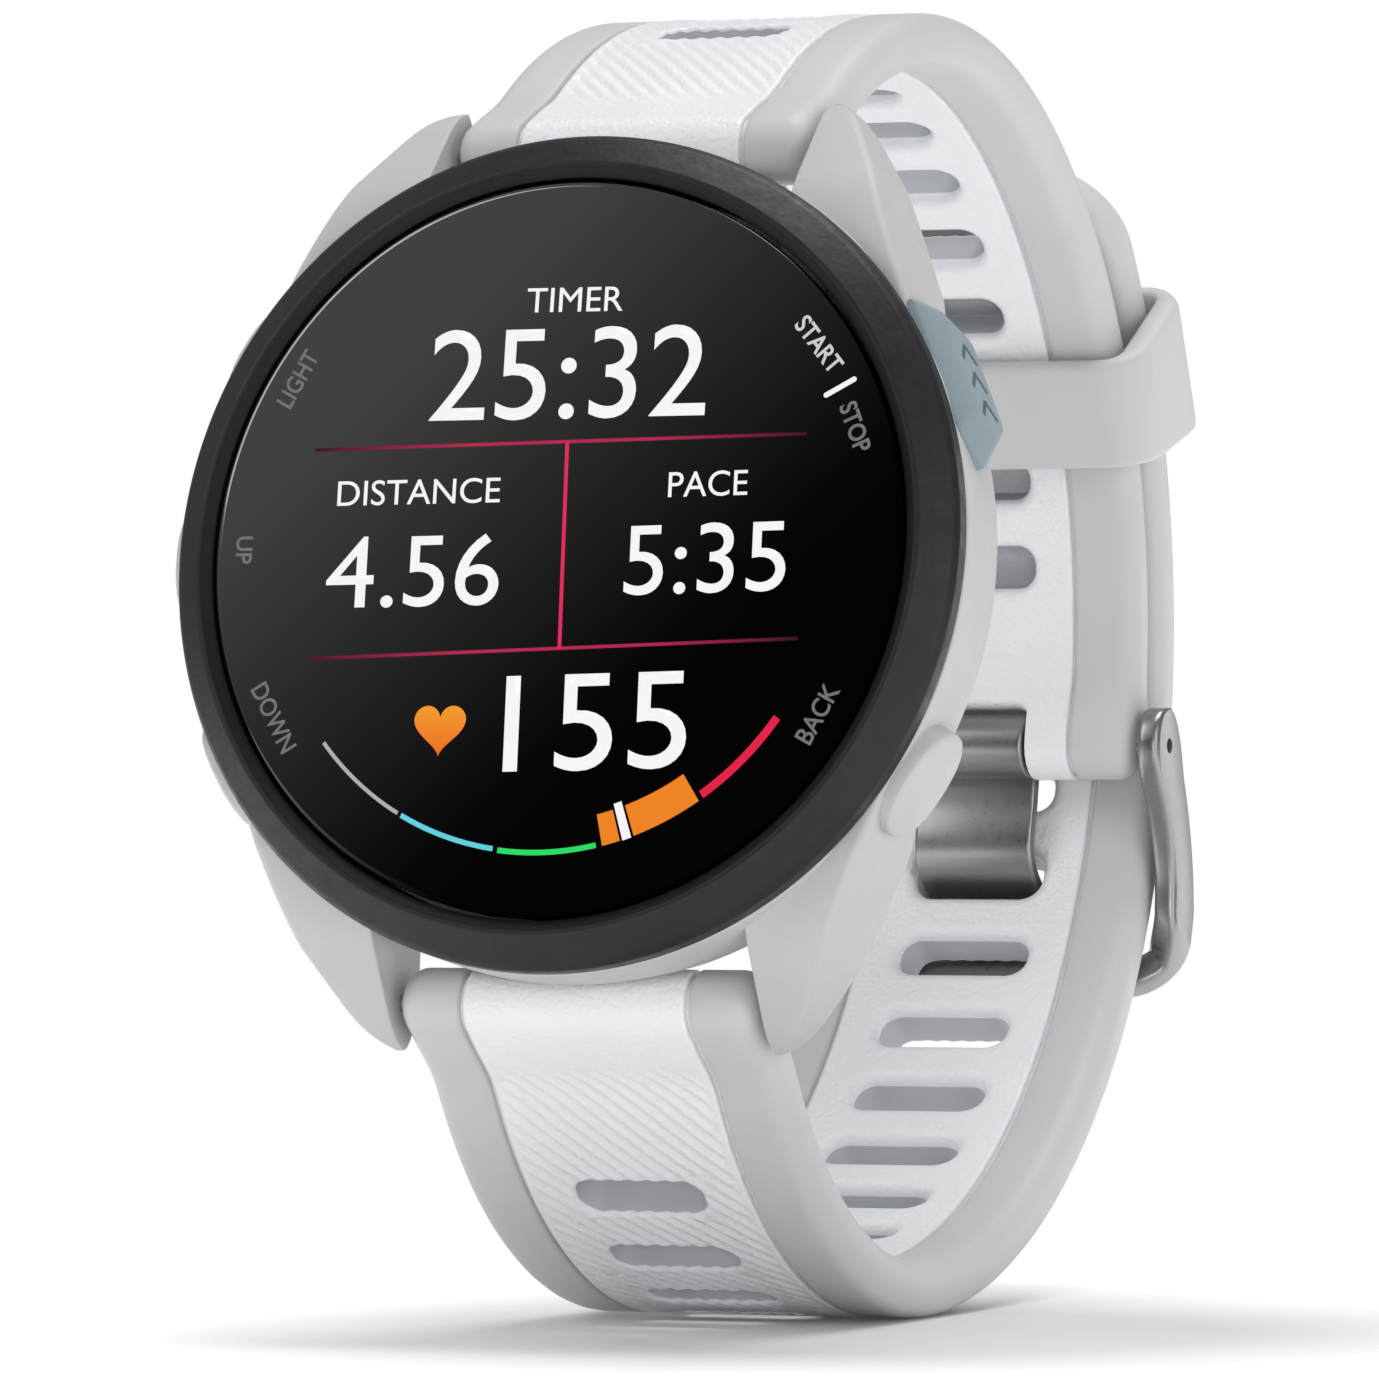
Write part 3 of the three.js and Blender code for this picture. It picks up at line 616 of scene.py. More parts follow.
# ------------------------------------------------ bezel, glass and dial
turned("bezel_ring", BEZEL_PLASTIC, "bezel", [
    (19.6, 3.0), (19.6, -0.1, 0.06), (19.85, -0.1, 0.1), (21.25, 0.95, 0.15),
    (CASE_R, 1.35, 0.12), (CASE_R, 2.3, 0.1), (20.2, 2.3, 0.1), (20.2, 3.0, 0.1), (19.6, 3.0)],
    35, replaces=["bezel"])
turned("bezel_inner_edge", BEZEL_INNER, "bezel", [
    (19.05, 3.0), (19.05, 0.28, 0.08), (19.58, -0.09, 0.05), (19.62, -0.09), (19.62, 3.0),
    (19.05, 3.0)], 35)
turned("dial_glass", GLASS_BLACK, "lens", [
    (0.001, 1.2), (18.85, 1.2, 0.05), (18.85, 0.14, 0.1), (18.6, 0, 0.1), (0.001, 0)], 30,
    steps=256, replaces=["front_glass"])

WHITE = glowing("dial_white", (0.9, 0.9, 0.9))
LIGHT_GREY = glowing("dial_light_grey", (0.6, 0.6, 0.6))
SOFT_GREY = glowing("dial_grey", (0.16, 0.155, 0.155))
PINK = glowing("dial_pink", (0.72, 0.02, 0.11))
PINK_FADING = glowing("dial_pink_fading", (0.6, 0.02, 0.1), fades=13.8)
HEART = glowing("dial_heart_orange", (0.88, 0.33, 0.02), low=(0.85, 0.12, 0.01),
                span=(ORIGIN[2] - 0.0108, ORIGIN[2] - 0.0080))
ORANGE = glowing("dial_orange", (0.85, 0.22, 0.01))
GREY_ARC = glowing("dial_arc_grey", (0.42, 0.42, 0.42))
CYAN = glowing("dial_arc_cyan", (0.12, 0.62, 0.72))
GREEN = glowing("dial_arc_green", (0.02, 0.7, 0.12))
RED = glowing("dial_arc_red", (0.75, 0.01, 0.06))
DIAL_Y = -0.012  # the picture lies just over the glass
DIAL_THICK = 0.006
DIAL_LAYER = 0.008


def dial_face(name, outline, material, layer=0):
    """A thin plate on the dial with an outline in (x, z)."""
    front = np.insert(np.array(outline, float), 1, DIAL_Y - layer * DIAL_LAYER, axis=1)
    made = Shape().solid([front, front + [0, DIAL_THICK, 0]]).build(
        name, material, "display", weld=0.0005)
    made.data.polygons.foreach_set("use_smooth", np.zeros(len(made.data.polygons), bool))


def dial_arc(name, inner, outer, start, end, material, layer=0):
    """Part of a ring round the dial's middle, between two angles."""
    turns = np.radians(np.linspace(start, end, 40))
    ring = [(outer * math.cos(turn), outer * math.sin(turn)) for turn in turns]
    ring += [(inner * math.cos(turn), inner * math.sin(turn)) for turn in turns[::-1]]
    dial_face(name, ring, material, layer)


def dial_bar(name, start, end, width, material):
    """A bar with square ends."""
    start, end = np.array(start), np.array(end)
    side = side_of(end - start) * width / 2
    dial_face(name, [start - side, end - side, end + side, start + side], material)


def dial_pill(name, start, end, width, material):
    """A bar with round ends, between the middles of those ends."""
    start, end = np.array(start), np.array(end)
    heading = math.atan2(*(end - start)[::-1])
    outline = []
    for centre, turn in ((end, heading - math.pi / 2), (start, heading + math.pi / 2)):
        for bend in turn + np.linspace(0, math.pi, 17):
            outline.append(centre + width / 2 * np.array([math.cos(bend), math.sin(bend)]))
    dial_face(name, outline, material)


def dial_text(name, text, centre, size, material, angle=0.0, weight=0.0):
    """Text fitted to a width and height, turned by an angle about its centre."""
    lettering = bpy.data.curves.new(name, "FONT")
    lettering.body = text
    lettering.offset = weight
    lettering.resolution_u = 6
    source = add_object(name + "_source", lettering)
    bpy.context.view_layer.update()
    mesh = bpy.data.meshes.new_from_object(source)
    flat = np.array([vertex.co[:2] for vertex in mesh.vertices])
    faces = [tuple(polygon.vertices) for polygon in mesh.polygons]
    bpy.data.objects.remove(source)
    low, high = flat.min(0), flat.max(0)
    flat = ((flat - (low + high) / 2) / (high - low)) * np.array(size)
    c, s = math.cos(math.radians(angle)), math.sin(math.radians(angle))
    x = centre[0] + c * flat[:, 0] - s * flat[:, 1]
    z = centre[1] + s * flat[:, 0] + c * flat[:, 1]
    shape = Shape()
    shape.add(np.stack([x, np.full(len(x), DIAL_Y), z], 1), faces)
    made = shape.build(name, material, "display", weld=0.0002)
    if made.data.polygons[0].normal.y > 0:
        made.data.flip_normals()
    thicken = made.modifiers.new("thickness", "SOLIDIFY")
    thicken.thickness = DIAL_THICK * MM
    thicken.offset = -1


def heart_outline(centre, width, height):
    """A heart of a width and height about a centre."""
    turns = full_turn(64)
    x = 16 * np.sin(turns) ** 3
    z = 13 * np.cos(turns) - 5 * np.cos(2 * turns) - 2 * np.cos(3 * turns) - np.cos(4 * turns)
    x = x / np.ptp(x) * width
    z = (z - (z.max() + z.min()) / 2) / np.ptp(z) * height
    return [(centre[0] + a, centre[1] + b) for a, b in zip(x, z)]


dial_text("dial_heading_timer", "TIMER", (0.35, 12.7), (5.3, 1.25), WHITE)
dial_text("dial_time", "25:32", (0.25, 8.9), (15.2, 4.75), WHITE, 0.3)
dial_text("dial_heading_distance", "DISTANCE", (-7.62, 2.88), (9.05, 1.3), WHITE, 0.6)
dial_text("dial_distance", "4.56", (-7.65, -1.22), (9.6, 3.7), WHITE, 0.8)
dial_text("dial_heading_pace", "PACE", (8.3, 3.12), (4.3, 1.3), WHITE, 1)
dial_text("dial_pace", "5:35", (8.4, -0.68), (8.75, 3.6), WHITE, 1.2)
dial_text("dial_rate", "155", (3.0, -9.0), (9.95, 4.95), WHITE, 1.4)
dial_text("dial_label_light", "LIGHT", (-14.84, 8.84), (3.1, 0.98), SOFT_GREY, 62, 0.012)
dial_text("dial_label_up", "UP", (-17.2, -0.05), (1.42, 0.92), SOFT_GREY, -90, 0.012)
dial_text("dial_label_down", "DOWN", (-14.86, -8.74), (3.9, 0.98), SOFT_GREY, -59, 0.012)
dial_text("dial_label_back", "BACK", (15.0, -8.6), (3.15, 1.02), SOFT_GREY, 62.5, 0.012)
dial_text("dial_label_start", "START", (13.85, 10.15), (3.35, 0.98), LIGHT_GREY, -50, 0.016)
dial_text("dial_label_stop", "STOP", (16.08, 5.9), (2.65, 0.98), SOFT_GREY, -67, 0.02)
dial_pill("dial_pointer", (14.4, 7.55), (15.86, 8.34), 0.27, WHITE)

dial_bar("dial_rule_top", (-13.6, 5.12), (13.5, 5.6), 0.17, PINK_FADING)
dial_bar("dial_rule_bottom", (-13.2, -5.7), (13.7, -4.8), 0.17, PINK_FADING)
dial_bar("dial_rule_middle", (0.44, 5.36), (0.76, -5.25), 0.2, PINK)

dial_arc("dial_gauge_grey", 15.5, 15.7, -140, -119, GREY_ARC)
dial_arc("dial_gauge_cyan", 15.47, 15.73, -118.2, -98, CYAN)
dial_arc("dial_gauge_green", 15.5, 15.78, -97, -77.2, GREEN)
dial_arc("dial_gauge_orange", 14.12, 15.76, -76, -55.6, ORANGE)
dial_arc("dial_gauge_red", 15.35, 15.78, -54.6, -34.4, RED)
dial_arc("dial_gauge_gap", 13.7, 15.9, -72.4, -69.6, GLASS_BLACK, 1)
dial_arc("dial_gauge_marker", 13.85, 15.8, -71.9, -70.1, WHITE, 2)
dial_face("dial_heart", heart_outline((-5.55, -9.45), 2.85, 2.6), HEART)


# ------------------------------------------------ strap paths
LOOP = np.array([28.6, 1.65])
LOOP_R = 30.85
UPPER_THICK, LOWER_THICK, LAYER_GAP = 2.9, 3.0, 1.2
UPPER_BASE, LOWER_BASE = UPPER_THICK / 2, LOWER_THICK / 2
TAIL_R = LOOP_R + UPPER_BASE + LAYER_GAP + LOWER_BASE
PIN_ANGLE, TIP_ANGLE, TONGUE_SLOT_ANGLE = -3.4, 54, -15.2
STRAP_HALF = 9.9
BARREL_R = 1.9
BAR_SWELL, PIN_SWELL = (5, 1.2), (4, 0.8)  # where a barrel starts and is full, from an end
FAN_STEPS = 12
RIB_ANGLE = math.radians(47)
RIB_PITCH, RIB_HEIGHT = 0.75, 0.2
RIB_CREST = 0.62  # share of the pitch that rises
RIB_SINK = 0.75  # share of the height that lies below the strap's face
RIBS_START, RIBS_FULL = 2.6, 5.0  # distances from the spring bar
RIBS_EDGE = 5.3  # from here the ribs fade out towards the core's edge


def polar(radius, degrees):
    """A point in (y, z) at a radius and an angle about the loop's centre."""
    turn = np.radians(degrees)
    return LOOP + np.stack([radius * np.cos(turn), radius * np.sin(turn)], -1)


class StrapHalf:
    """Half of the strap, along tangent arcs in (y, z). Each arc is (radius, sweep in degrees),
    with left turns positive, and the last one ends at the spring bar. The outer side is to the
    left of the heading (1) or to its right (-1)."""

    def __init__(self, start, heading, arcs, outer_side, base, start_barrel):
        self.outer_side = outer_side
        self.base = base
        self.start_barrel = start_barrel
        self.arcs = []
        here, turn, length = start, math.radians(heading), 0.0
        for radius, sweep in arcs:
            side = math.copysign(1, sweep)
            centre = here + side * radius * np.array([-math.sin(turn), math.cos(turn)])
            self.arcs.append((length, radius, side, centre, turn))
            turn += math.radians(sweep)
            length += radius * abs(math.radians(sweep))
            here = centre + side * radius * np.array([math.sin(turn), -math.cos(turn)])
        self.length = length

    def at(self, s):
        """Points, headings as unit vectors, and outward normals at lengths s."""
        point, along = np.zeros((len(s), 2)), np.zeros((len(s), 2))
        starts = np.array([arc[0] for arc in self.arcs])
        piece = np.clip(np.searchsorted(starts, s, side="right") - 1, 0, None)
        for i, (start, radius, side, centre, turn) in enumerate(self.arcs):
            here = piece == i
            turned_by = turn + side * (s[here] - start) / radius
            sine, cosine = np.sin(turned_by), np.cos(turned_by)
            point[here] = centre + side * radius * np.stack([sine, -cosine], 1)
            along[here] = np.stack([cosine, sine], 1)
        return point, along, side_of(along) * self.outer_side

    def points(self, x, s, height, phi=0.0):
        """Points at x across the strap, s along it and a height from its middle, which at an
        end of the strap may be turned by phi from the outer side towards the heading."""
        x, s, height, phi = np.broadcast_arrays(x, s, height, phi)
        point, along, out = self.at(s.ravel())
        turn = phi.ravel()[:, None]
        normal = out * np.cos(turn) + along * np.sin(turn)
        yz = point + normal * height.ravel()[:, None]
        return np.concatenate([x.ravel()[:, None], yz], 1).reshape(*x.shape, 3)

    def half_thick(self, s):
        """Half of the strap's thickness, which grows into a barrel at its ends."""
        rise = BARREL_R - self.base
        start, full = (self.length - reach for reach in BAR_SWELL)
        made = self.base + rise * smoothstep(start, full, s)
        if self.start_barrel:
            made = np.maximum(made, self.base + rise * (1 - smoothstep(*PIN_SWELL[::-1], s)))
        return made

    def ribs(self, x, s):
        """Height of the slanting ribs at x across and s along, none near the bar."""
        from_bar = self.length - s
        phase = (from_bar * math.cos(RIB_ANGLE)
                 - self.outer_side * x * math.sin(RIB_ANGLE)) / RIB_PITCH
        phase = phase - np.floor(phase)
        wave = np.where(phase < RIB_CREST, smoothstep(0, RIB_CREST, phase),
                        1 - smoothstep(RIB_CREST, 1, phase))
        fade = smoothstep(RIBS_START, RIBS_FULL, from_bar)
        fade = fade * (1 - smoothstep(RIBS_EDGE, CORE_FLAT, np.abs(x)))
        return RIB_HEIGHT * (wave - RIB_SINK) * fade

    def around(self, stations, start_fan=False):
        """Lengths s and turns phi round the strap: out along its outer side, round the bar,
        back along the inner side and, with start_fan, round its other end."""
        fan = np.linspace(0, math.pi, FAN_STEPS + 1)[1:-1]
        s = [stations, np.full(len(fan), stations[-1]), stations[::-1]]
        phi = [0 * stations, fan, 0 * stations + math.pi]
        if start_fan:
            s.append(np.full(len(fan), stations[0]))
            phi.append(math.pi + fan)
        return np.concatenate(s), np.concatenate(phi)


UPPER = StrapHalf(polar(LOOP_R, PIN_ANGLE), 90 + PIN_ANGLE,
                  [(LOOP_R, 69.3 - PIN_ANGLE), (27, 65.5), (14.5, -14.7)], -1, UPPER_BASE, True)
LOWER = StrapHalf(polar(TAIL_R, TIP_ANGLE), TIP_ANGLE - 90,
                  [(TAIL_R, -TIP_ANGLE - 25.4), (36.5, -48.4), (24.4, -63.6), (18.3, 18.3)],
                  1, LOWER_BASE, False)


# ------------------------------------------------ straps
GROOVE_X = 6.35  # where a rail begins, beside the core
GROOVE_DEPTH = 0.34
CORE_EDGE, CORE_FLAT = 6.1, 5.95
CORE_ROUND = 0.15
RAIL_ROUND, RAIL_LIP = 1.3, 0.22  # roundings of a rail's outer and inner edge
RAIL_STEP = 0.8


def rail_columns():
    """Columns of a rail's half section: x, and either a drop from the face or the middle."""
    columns = [(GROOVE_X, None), (GROOVE_X, 0.7), (GROOVE_X, RAIL_LIP)]
    columns += [(GROOVE_X + RAIL_LIP * (1 - cosine), RAIL_LIP * (1 - sine))
                for sine, cosine in quarter(3)[1:]]
    columns += [(7.2, 0.0), (7.9, 0.0)]
    columns += [(STRAP_HALF - RAIL_ROUND * (1 - sine), RAIL_ROUND * (1 - cosine))
                for sine, cosine in quarter(7)]
    return columns + [(STRAP_HALF, None)]


def rails(strap, start):
    """Both rails of a strap half, from a station to its bar."""
    stations = np.linspace(start, strap.length, int(strap.length / RAIL_STEP))
    s, phi = strap.around(stations, strap.start_barrel)
    thick = strap.half_thick(s)
    rows = [strap.points(x, s, 0 * s if drop is None else thick - drop, phi)
            for x, drop in rail_columns()]
    shape = Shape().grid(rows, wrap_columns=strap.start_barrel)
    if not strap.start_barrel:
        shape.grid([[row[0] for row in rows], [row[-1] for row in rows]])
    return shape.mirrored()


SLOT_HALF_WIDTH, SLOT_HALF_LENGTH, WIDE_HALF_LENGTH = 3.8, 1.22, 1.4
SLOT_BEND = 0.42  # share of a slot's end that is a bend, at each of its two corners
SLOT_BEND_R = 0.88  # radius of those bends, as a share of the slot's half length
OUTER_ROUND, INNER_ROUND = 0.22, 0.7
OUTER_NARROW = 0.22  # the slots are narrower on the outer face
RIM_WEAR = 0.6  # share of a rib's height lost at a slot's rim
ACROSS, ALONG, MARGIN = 64, 24, 12  # divisions over a cell, along it, and beside it
CELL_HALF_WIDTH, CELL_HALF_LENGTH = 4.75, 2.15
MIDDLE_COLUMNS = np.linspace(-CELL_HALF_WIDTH, CELL_HALF_WIDTH, ACROSS + 1)
MARGIN_COLUMNS = np.linspace(CELL_HALF_WIDTH, CORE_FLAT, MARGIN + 1)
ALL_COLUMNS = np.concatenate([-MARGIN_COLUMNS[:0:-1], MIDDLE_COLUMNS, MARGIN_COLUMNS[1:]])
STATION_STEP = 0.15


def cell_edge():
    """Points round a cell's rectangular edge, from its corner at low x and high s."""
    top = [(x, CELL_HALF_LENGTH) for x in MIDDLE_COLUMNS[:-1]]
    right = [(CELL_HALF_WIDTH, s)
             for s in np.linspace(CELL_HALF_LENGTH, -CELL_HALF_LENGTH, ALONG + 1)[:-1]]
    half = np.array(top + right)
    return np.concatenate([half, -half])


def slot_edge(half_length, grow=0.0, narrow=0.0):
    """Points round a slot, in step with those of cell_edge."""
    a, b = SLOT_HALF_WIDTH + grow - narrow, half_length + grow
    r = SLOT_BEND_R * b
    top = [(x, b) for x in np.linspace(r - a, a - r, ACROSS + 1)[:-1]]
    bends = []
    for share in np.arange(ALONG) / ALONG:
        if share < SLOT_BEND:
            turn = share / SLOT_BEND * math.pi / 2
            bends.append((a - r + r * math.sin(turn), b - r + r * math.cos(turn)))
        elif share < 1 - SLOT_BEND:
            bends.append((a, (b - r) * (1 - (share - SLOT_BEND) / (0.5 - SLOT_BEND))))
        else:
            turn = (share - 1 + SLOT_BEND) / SLOT_BEND * math.pi / 2
            bends.append((a - r + r * math.cos(turn), r - b - r * math.sin(turn)))
    half = np.array(top + bends)
    return np.concatenate([half, -half])


def slot_cell(strap, shape, walls, centre, half_length):
    """One cell of a core: its two faces round a slot, and the slot's walls."""

    def outer_ring(outline, drop, worn):
        x, s = outline[:, 0], centre + outline[:, 1]
        ribs = strap.ribs(x, s) * (1 - RIM_WEAR * worn)
        return strap.points(x, s, strap.half_thick(s) - drop + ribs)

    def inner_ring(outline, drop):
        x, s = outline[:, 0], centre + outline[:, 1]
        return strap.points(x, s, drop - strap.half_thick(s))

    edge = cell_edge()
    rim = slot_edge(half_length, OUTER_ROUND, OUTER_NARROW)
    outside = [outer_ring(edge * (1 - share) + rim * share, 0, share)
               for share in np.linspace(0, 1, 8)]
    for sine, cosine in quarter(4)[1:]:
        rounding = slot_edge(half_length, OUTER_ROUND * (1 - sine), OUTER_NARROW)
        outside.append(outer_ring(rounding, OUTER_ROUND * (1 - cosine), 1))
    inside = [inner_ring(slot_edge(half_length, INNER_ROUND * (1 - cosine)),
                         INNER_ROUND * (1 - sine)) for sine, cosine in quarter(6)]
    rim = slot_edge(half_length, INNER_ROUND)
    inside += [inner_ring(edge * (1 - share) + rim * share, 0)
               for share in np.linspace(1, 0, 4)[1:]]
    shape.grid(outside, wrap_columns=True)
    shape.grid(inside, wrap_columns=True)
    halfway = outer_ring(slot_edge(half_length, narrow=0.1), 1.0, 1)
    walls.grid([outside[-1], halfway, inside[0]], wrap_columns=True)


def core_faces(strap, shape, columns, s, phi):
    """A core's faces over some columns, along stations s turned by phi."""
    thick = strap.half_thick(s)
    shape.grid([strap.points(x, s, thick + np.where(phi == 0, strap.ribs(x, s), 0), phi)
                for x in columns])


def core_edge(strap, shape, side, s, phi):
    """A core's long edge: a small rounding, a wall and a ledge that reaches its rail."""
    columns = [(CORE_FLAT + CORE_ROUND * sine, CORE_ROUND * (1 - cosine))
               for sine, cosine in quarter(3)]
    columns += [(CORE_EDGE, GROOVE_DEPTH), (GROOVE_X + 0.1, GROOVE_DEPTH)]
    thick = strap.half_thick(s)
    shape.grid([strap.points(side * x, s, thick - drop, phi) for x, drop in columns])


def stretch(start, end):
    """Stations from start to end, evenly spaced."""
    return np.linspace(start, end, max(2, round((end - start) / STATION_STEP) + 1))


def core(strap, end, first_slot, slots, pitch, wide_slot=None):
    """A strap half's core, and the walls of its slots."""
    shape, walls = Shape(), Shape()
    stations, bands, here = [], [], end
    for i in range(slots):
        centre = first_slot + i * pitch
        slot_cell(strap, shape, walls, centre,
                  WIDE_HALF_LENGTH if i == wide_slot else SLOT_HALF_LENGTH)
        bands.append(stretch(here, centre - CELL_HALF_LENGTH))
        here = centre + CELL_HALF_LENGTH
        stations += [bands[-1], np.linspace(centre - CELL_HALF_LENGTH, here, ALONG + 1)[1:-1]]
    for band in bands:
        for face in (0.0, math.pi):
            core_faces(strap, shape, MIDDLE_COLUMNS, band, np.full(len(band), face))
    bar_side = stretch(here, strap.length)
    core_faces(strap, shape, MIDDLE_COLUMNS, *strap.around(bar_side))
    s, phi = strap.around(np.concatenate(stations + [bar_side]))
    for columns in (MARGIN_COLUMNS, -MARGIN_COLUMNS):
        core_faces(strap, shape, columns, s, phi)
    for side in (1, -1):
        core_edge(strap, shape, side, s, phi)
    return shape, walls


NOTCH_COLUMN = 19  # the column of the core's grid where the tongue's notch begins
CHEEK_STATIONS = 10
LIP_CORNER = 1.0
LIP_PROFILE = [(0.1, 0.99), (0.3, 0.94), (0.5, 0.8), (0.6, 0.55)]  # bow, share of the thickness


def core_cheeks(strap, shape, end):
    """The core's narrow ends beside the tongue, round the buckle pin."""
    columns = ALL_COLUMNS[:NOTCH_COLUMN + 1]
    stations = np.linspace(0, end, CHEEK_STATIONS)
    fan = np.linspace(math.pi, 2 * math.pi, FAN_STEPS + 1)[1:-1]
    s = np.concatenate([stations[::-1], 0 * fan, stations])
    phi = np.concatenate([0 * stations + math.pi, fan, 0 * stations + 2 * math.pi])
    thick = strap.half_thick(s)
    for side in (1, -1):
        rows = [strap.points(side * x, s, thick, phi) for x in columns]
        rows.append(strap.points(side * columns[-1], s, 0 * thick, phi))
        shape.grid(rows)
        core_edge(strap, shape, side, s, phi)


def core_lip(strap, shape, end):
    """The core's edge above the tongue, between its cheeks."""
    x = ALL_COLUMNS[NOTCH_COLUMN:len(ALL_COLUMNS) - NOTCH_COLUMN]
    inward = np.clip(np.abs(x) - (np.abs(x).max() - LIP_CORNER), 0, LIP_CORNER)
    corner = LIP_CORNER - np.sqrt(LIP_CORNER ** 2 - inward ** 2)
    thick = float(strap.half_thick(end))
    rows = [strap.points(x, end, thick)]
    for bow, share in LIP_PROFILE + [(bow, -share) for bow, share in LIP_PROFILE[::-1]]:
        rows.append(strap.points(x, end - bow - corner, thick * share))
    rows.append(strap.points(x, end, -thick))
    shape.grid(rows)


TIP_BLOCK = 5.2  # length of the solid block that closes the tail


def strap_tip(shape):
    """The solid block that closes the tail, with its two rounded corners."""
    s = TIP_BLOCK * (1 - np.cos(np.linspace(0, math.pi / 2, 25)))
    corner = np.sqrt(1 - np.clip(1 - s / TIP_BLOCK, 0, 1) ** 2)
    width = STRAP_HALF - TIP_BLOCK + TIP_BLOCK * corner
    edge = np.clip(s / RAIL_ROUND, 0, 1)
    full = LOWER_BASE - RAIL_ROUND * (1 - np.sqrt(1 - (1 - edge) ** 2))
    flat = np.linspace(1, -1, 15)[1:-1]
    rings = []
    for here, half, thick in zip(s, width, full):
        r = min(RAIL_ROUND, thick)
        end = [(half - r + r * math.sin(turn),
                (thick - r) * (1 if turn < math.pi / 2 else -1) + r * math.cos(turn))
               for turn in np.linspace(0, math.pi, 13)]
        bottom = [(x * (half - r), -thick) for x in flat]
        ring = np.array(end + bottom)
        ring = np.concatenate([ring, -ring])
        rings.append(LOWER.points(ring[:, 0], here, ring[:, 1]))
    shape.solid(rings)


def build_rails(half, shape):
    """Makes the grey piece of a strap half."""
    shape.build(half + "_strap_rails", GREY_SILICONE, "strap_grey",
                replaces=[half + "_strap_frame"], sharp=50)


def build_core(half, shape, walls):
    """Makes the white core of a strap half, and the walls of its slots in a darker grey that paints
    the shade inside them.
    """
    shape.build(half + "_strap_ribbed_core", WHITE_SILICONE, "strap_white",
                replaces=[half + "_strap_core"], sharp=55)
    walls.build(half + "_strap_slot_walls", SLOT_PAINTED_SHADE, "strap_white", sharp=55)


UPPER_END = 2.6  # where the upper core begins, past the buckle pin
build_rails("upper", rails(UPPER, 0))
upper_core, upper_walls = core(UPPER, UPPER_END, first_slot=10.1, slots=11, pitch=5.1)
core_cheeks(UPPER, upper_core, UPPER_END)
core_lip(UPPER, upper_core, UPPER_END)
build_core("upper", upper_core, upper_walls)

LOWER_PITCH = 5.27
BUCKLED_SLOT = 6  # the slot that holds the tongue, counted from the tip
TONGUE_SLOT = TAIL_R * math.radians(TIP_ANGLE - TONGUE_SLOT_ANGLE)
build_core("lower", *core(LOWER, TIP_BLOCK, TONGUE_SLOT - BUCKLED_SLOT * LOWER_PITCH,
                          slots=18, pitch=LOWER_PITCH, wide_slot=BUCKLED_SLOT))
lower_rails = rails(LOWER, TIP_BLOCK)
strap_tip(lower_rails)
build_rails("lower", lower_rails)


def rounded_box(half_wide, inside, outside, corner, steps):
    """A rounded rectangle in (x, radius), with some steps round each corner."""
    middle, tall = (inside + outside) / 2, (outside - inside) / 2
    corner = min(corner, half_wide, tall)
    made = []
    for quadrant, (side, end) in enumerate(((1, 1), (-1, 1), (-1, -1), (1, -1))):
        for turn in (quadrant + np.linspace(0, 1, steps + 1)) * math.pi / 2:
            made.append((side * (half_wide - corner) + corner * math.cos(turn),
                         middle + end * (tall - corner) + corner * math.sin(turn)))
    return np.array(made)


# ------------------------------------------------ keeper
STRAP_GAP = 0.3  # clearance of the keeper and the buckle's bar round the strap
KEEPER_FROM, KEEPER_TO = 26.8, 39.3
KEEPER_HALF = 10.2
KEEPER_INSIDE, KEEPER_OUTSIDE = LOOP_R - UPPER_BASE - STRAP_GAP, TAIL_R + LOWER_BASE + STRAP_GAP
KEEPER_WALL, KEEPER_SIDE = 1.15, 1.6
KEEPER_CORNER_IN, KEEPER_CORNER_OUT = 0.8, 2.8
KEEPER_SOFT = math.degrees(0.55 / 36)  # rounding of 0.55 mm, as an angle about the loop
# (share of the wall from inside to outside, rounding of the loop's two edges there)
KEEPER_EDGE = [(0.0, 1.0), (0.04, 0.5), (0.14, 0.12), (0.3, 0.0), (0.6, 0.0), (0.82, 0.15),
               (0.94, 0.5), (1.0, 1.1)]


def keeper_loop():
    """The soft loop round both layers of the strap."""
    inner = rounded_box(KEEPER_HALF, KEEPER_INSIDE, KEEPER_OUTSIDE, KEEPER_CORNER_IN, 10)
    outer = rounded_box(KEEPER_HALF + KEEPER_SIDE, KEEPER_INSIDE - KEEPER_WALL,
                        KEEPER_OUTSIDE + KEEPER_WALL, KEEPER_CORNER_OUT, 10)
    section = [(share, KEEPER_FROM + KEEPER_SOFT * edge) for share, edge in KEEPER_EDGE]
    section += [(share, KEEPER_TO - KEEPER_SOFT * edge) for share, edge in KEEPER_EDGE[::-1]]
    rows = []
    for share, angle in section:
        flat = inner * (1 - share) + outer * share
        rows.append(np.column_stack([flat[:, 0], polar(flat[:, 1], angle)]))
    return Shape().grid(rows, wrap_rows=True, wrap_columns=True)


keeper_loop().build("keeper_soft_loop", GREY_SILICONE, "strap_grey", "keeper", ["strap_keeper"],
                    sharp=60)


# ------------------------------------------------ buckle
PIN = polar(LOOP_R, PIN_ANGLE)
BAR_INSIDE = TAIL_R + LOWER_BASE + STRAP_GAP
BAR_OUTSIDE = BAR_INSIDE + 1.5
BAR_MIDDLE = (BAR_INSIDE + BAR_OUTSIDE) / 2
BAR_ANGLE, TONGUE_TIP = -22.4, -23.5
ARM_MIDDLE, ARM_THICK, BAR_THICK = 10.95, 1.3, 2.0
BEND_R, ARM_ROUND, PIN_HOLE_R = 2.8, 0.42, 0.42


def near_pin(dy, dz):
    """A point in (y, z) beside the buckle pin."""
    return PIN + np.array([dy, dz])


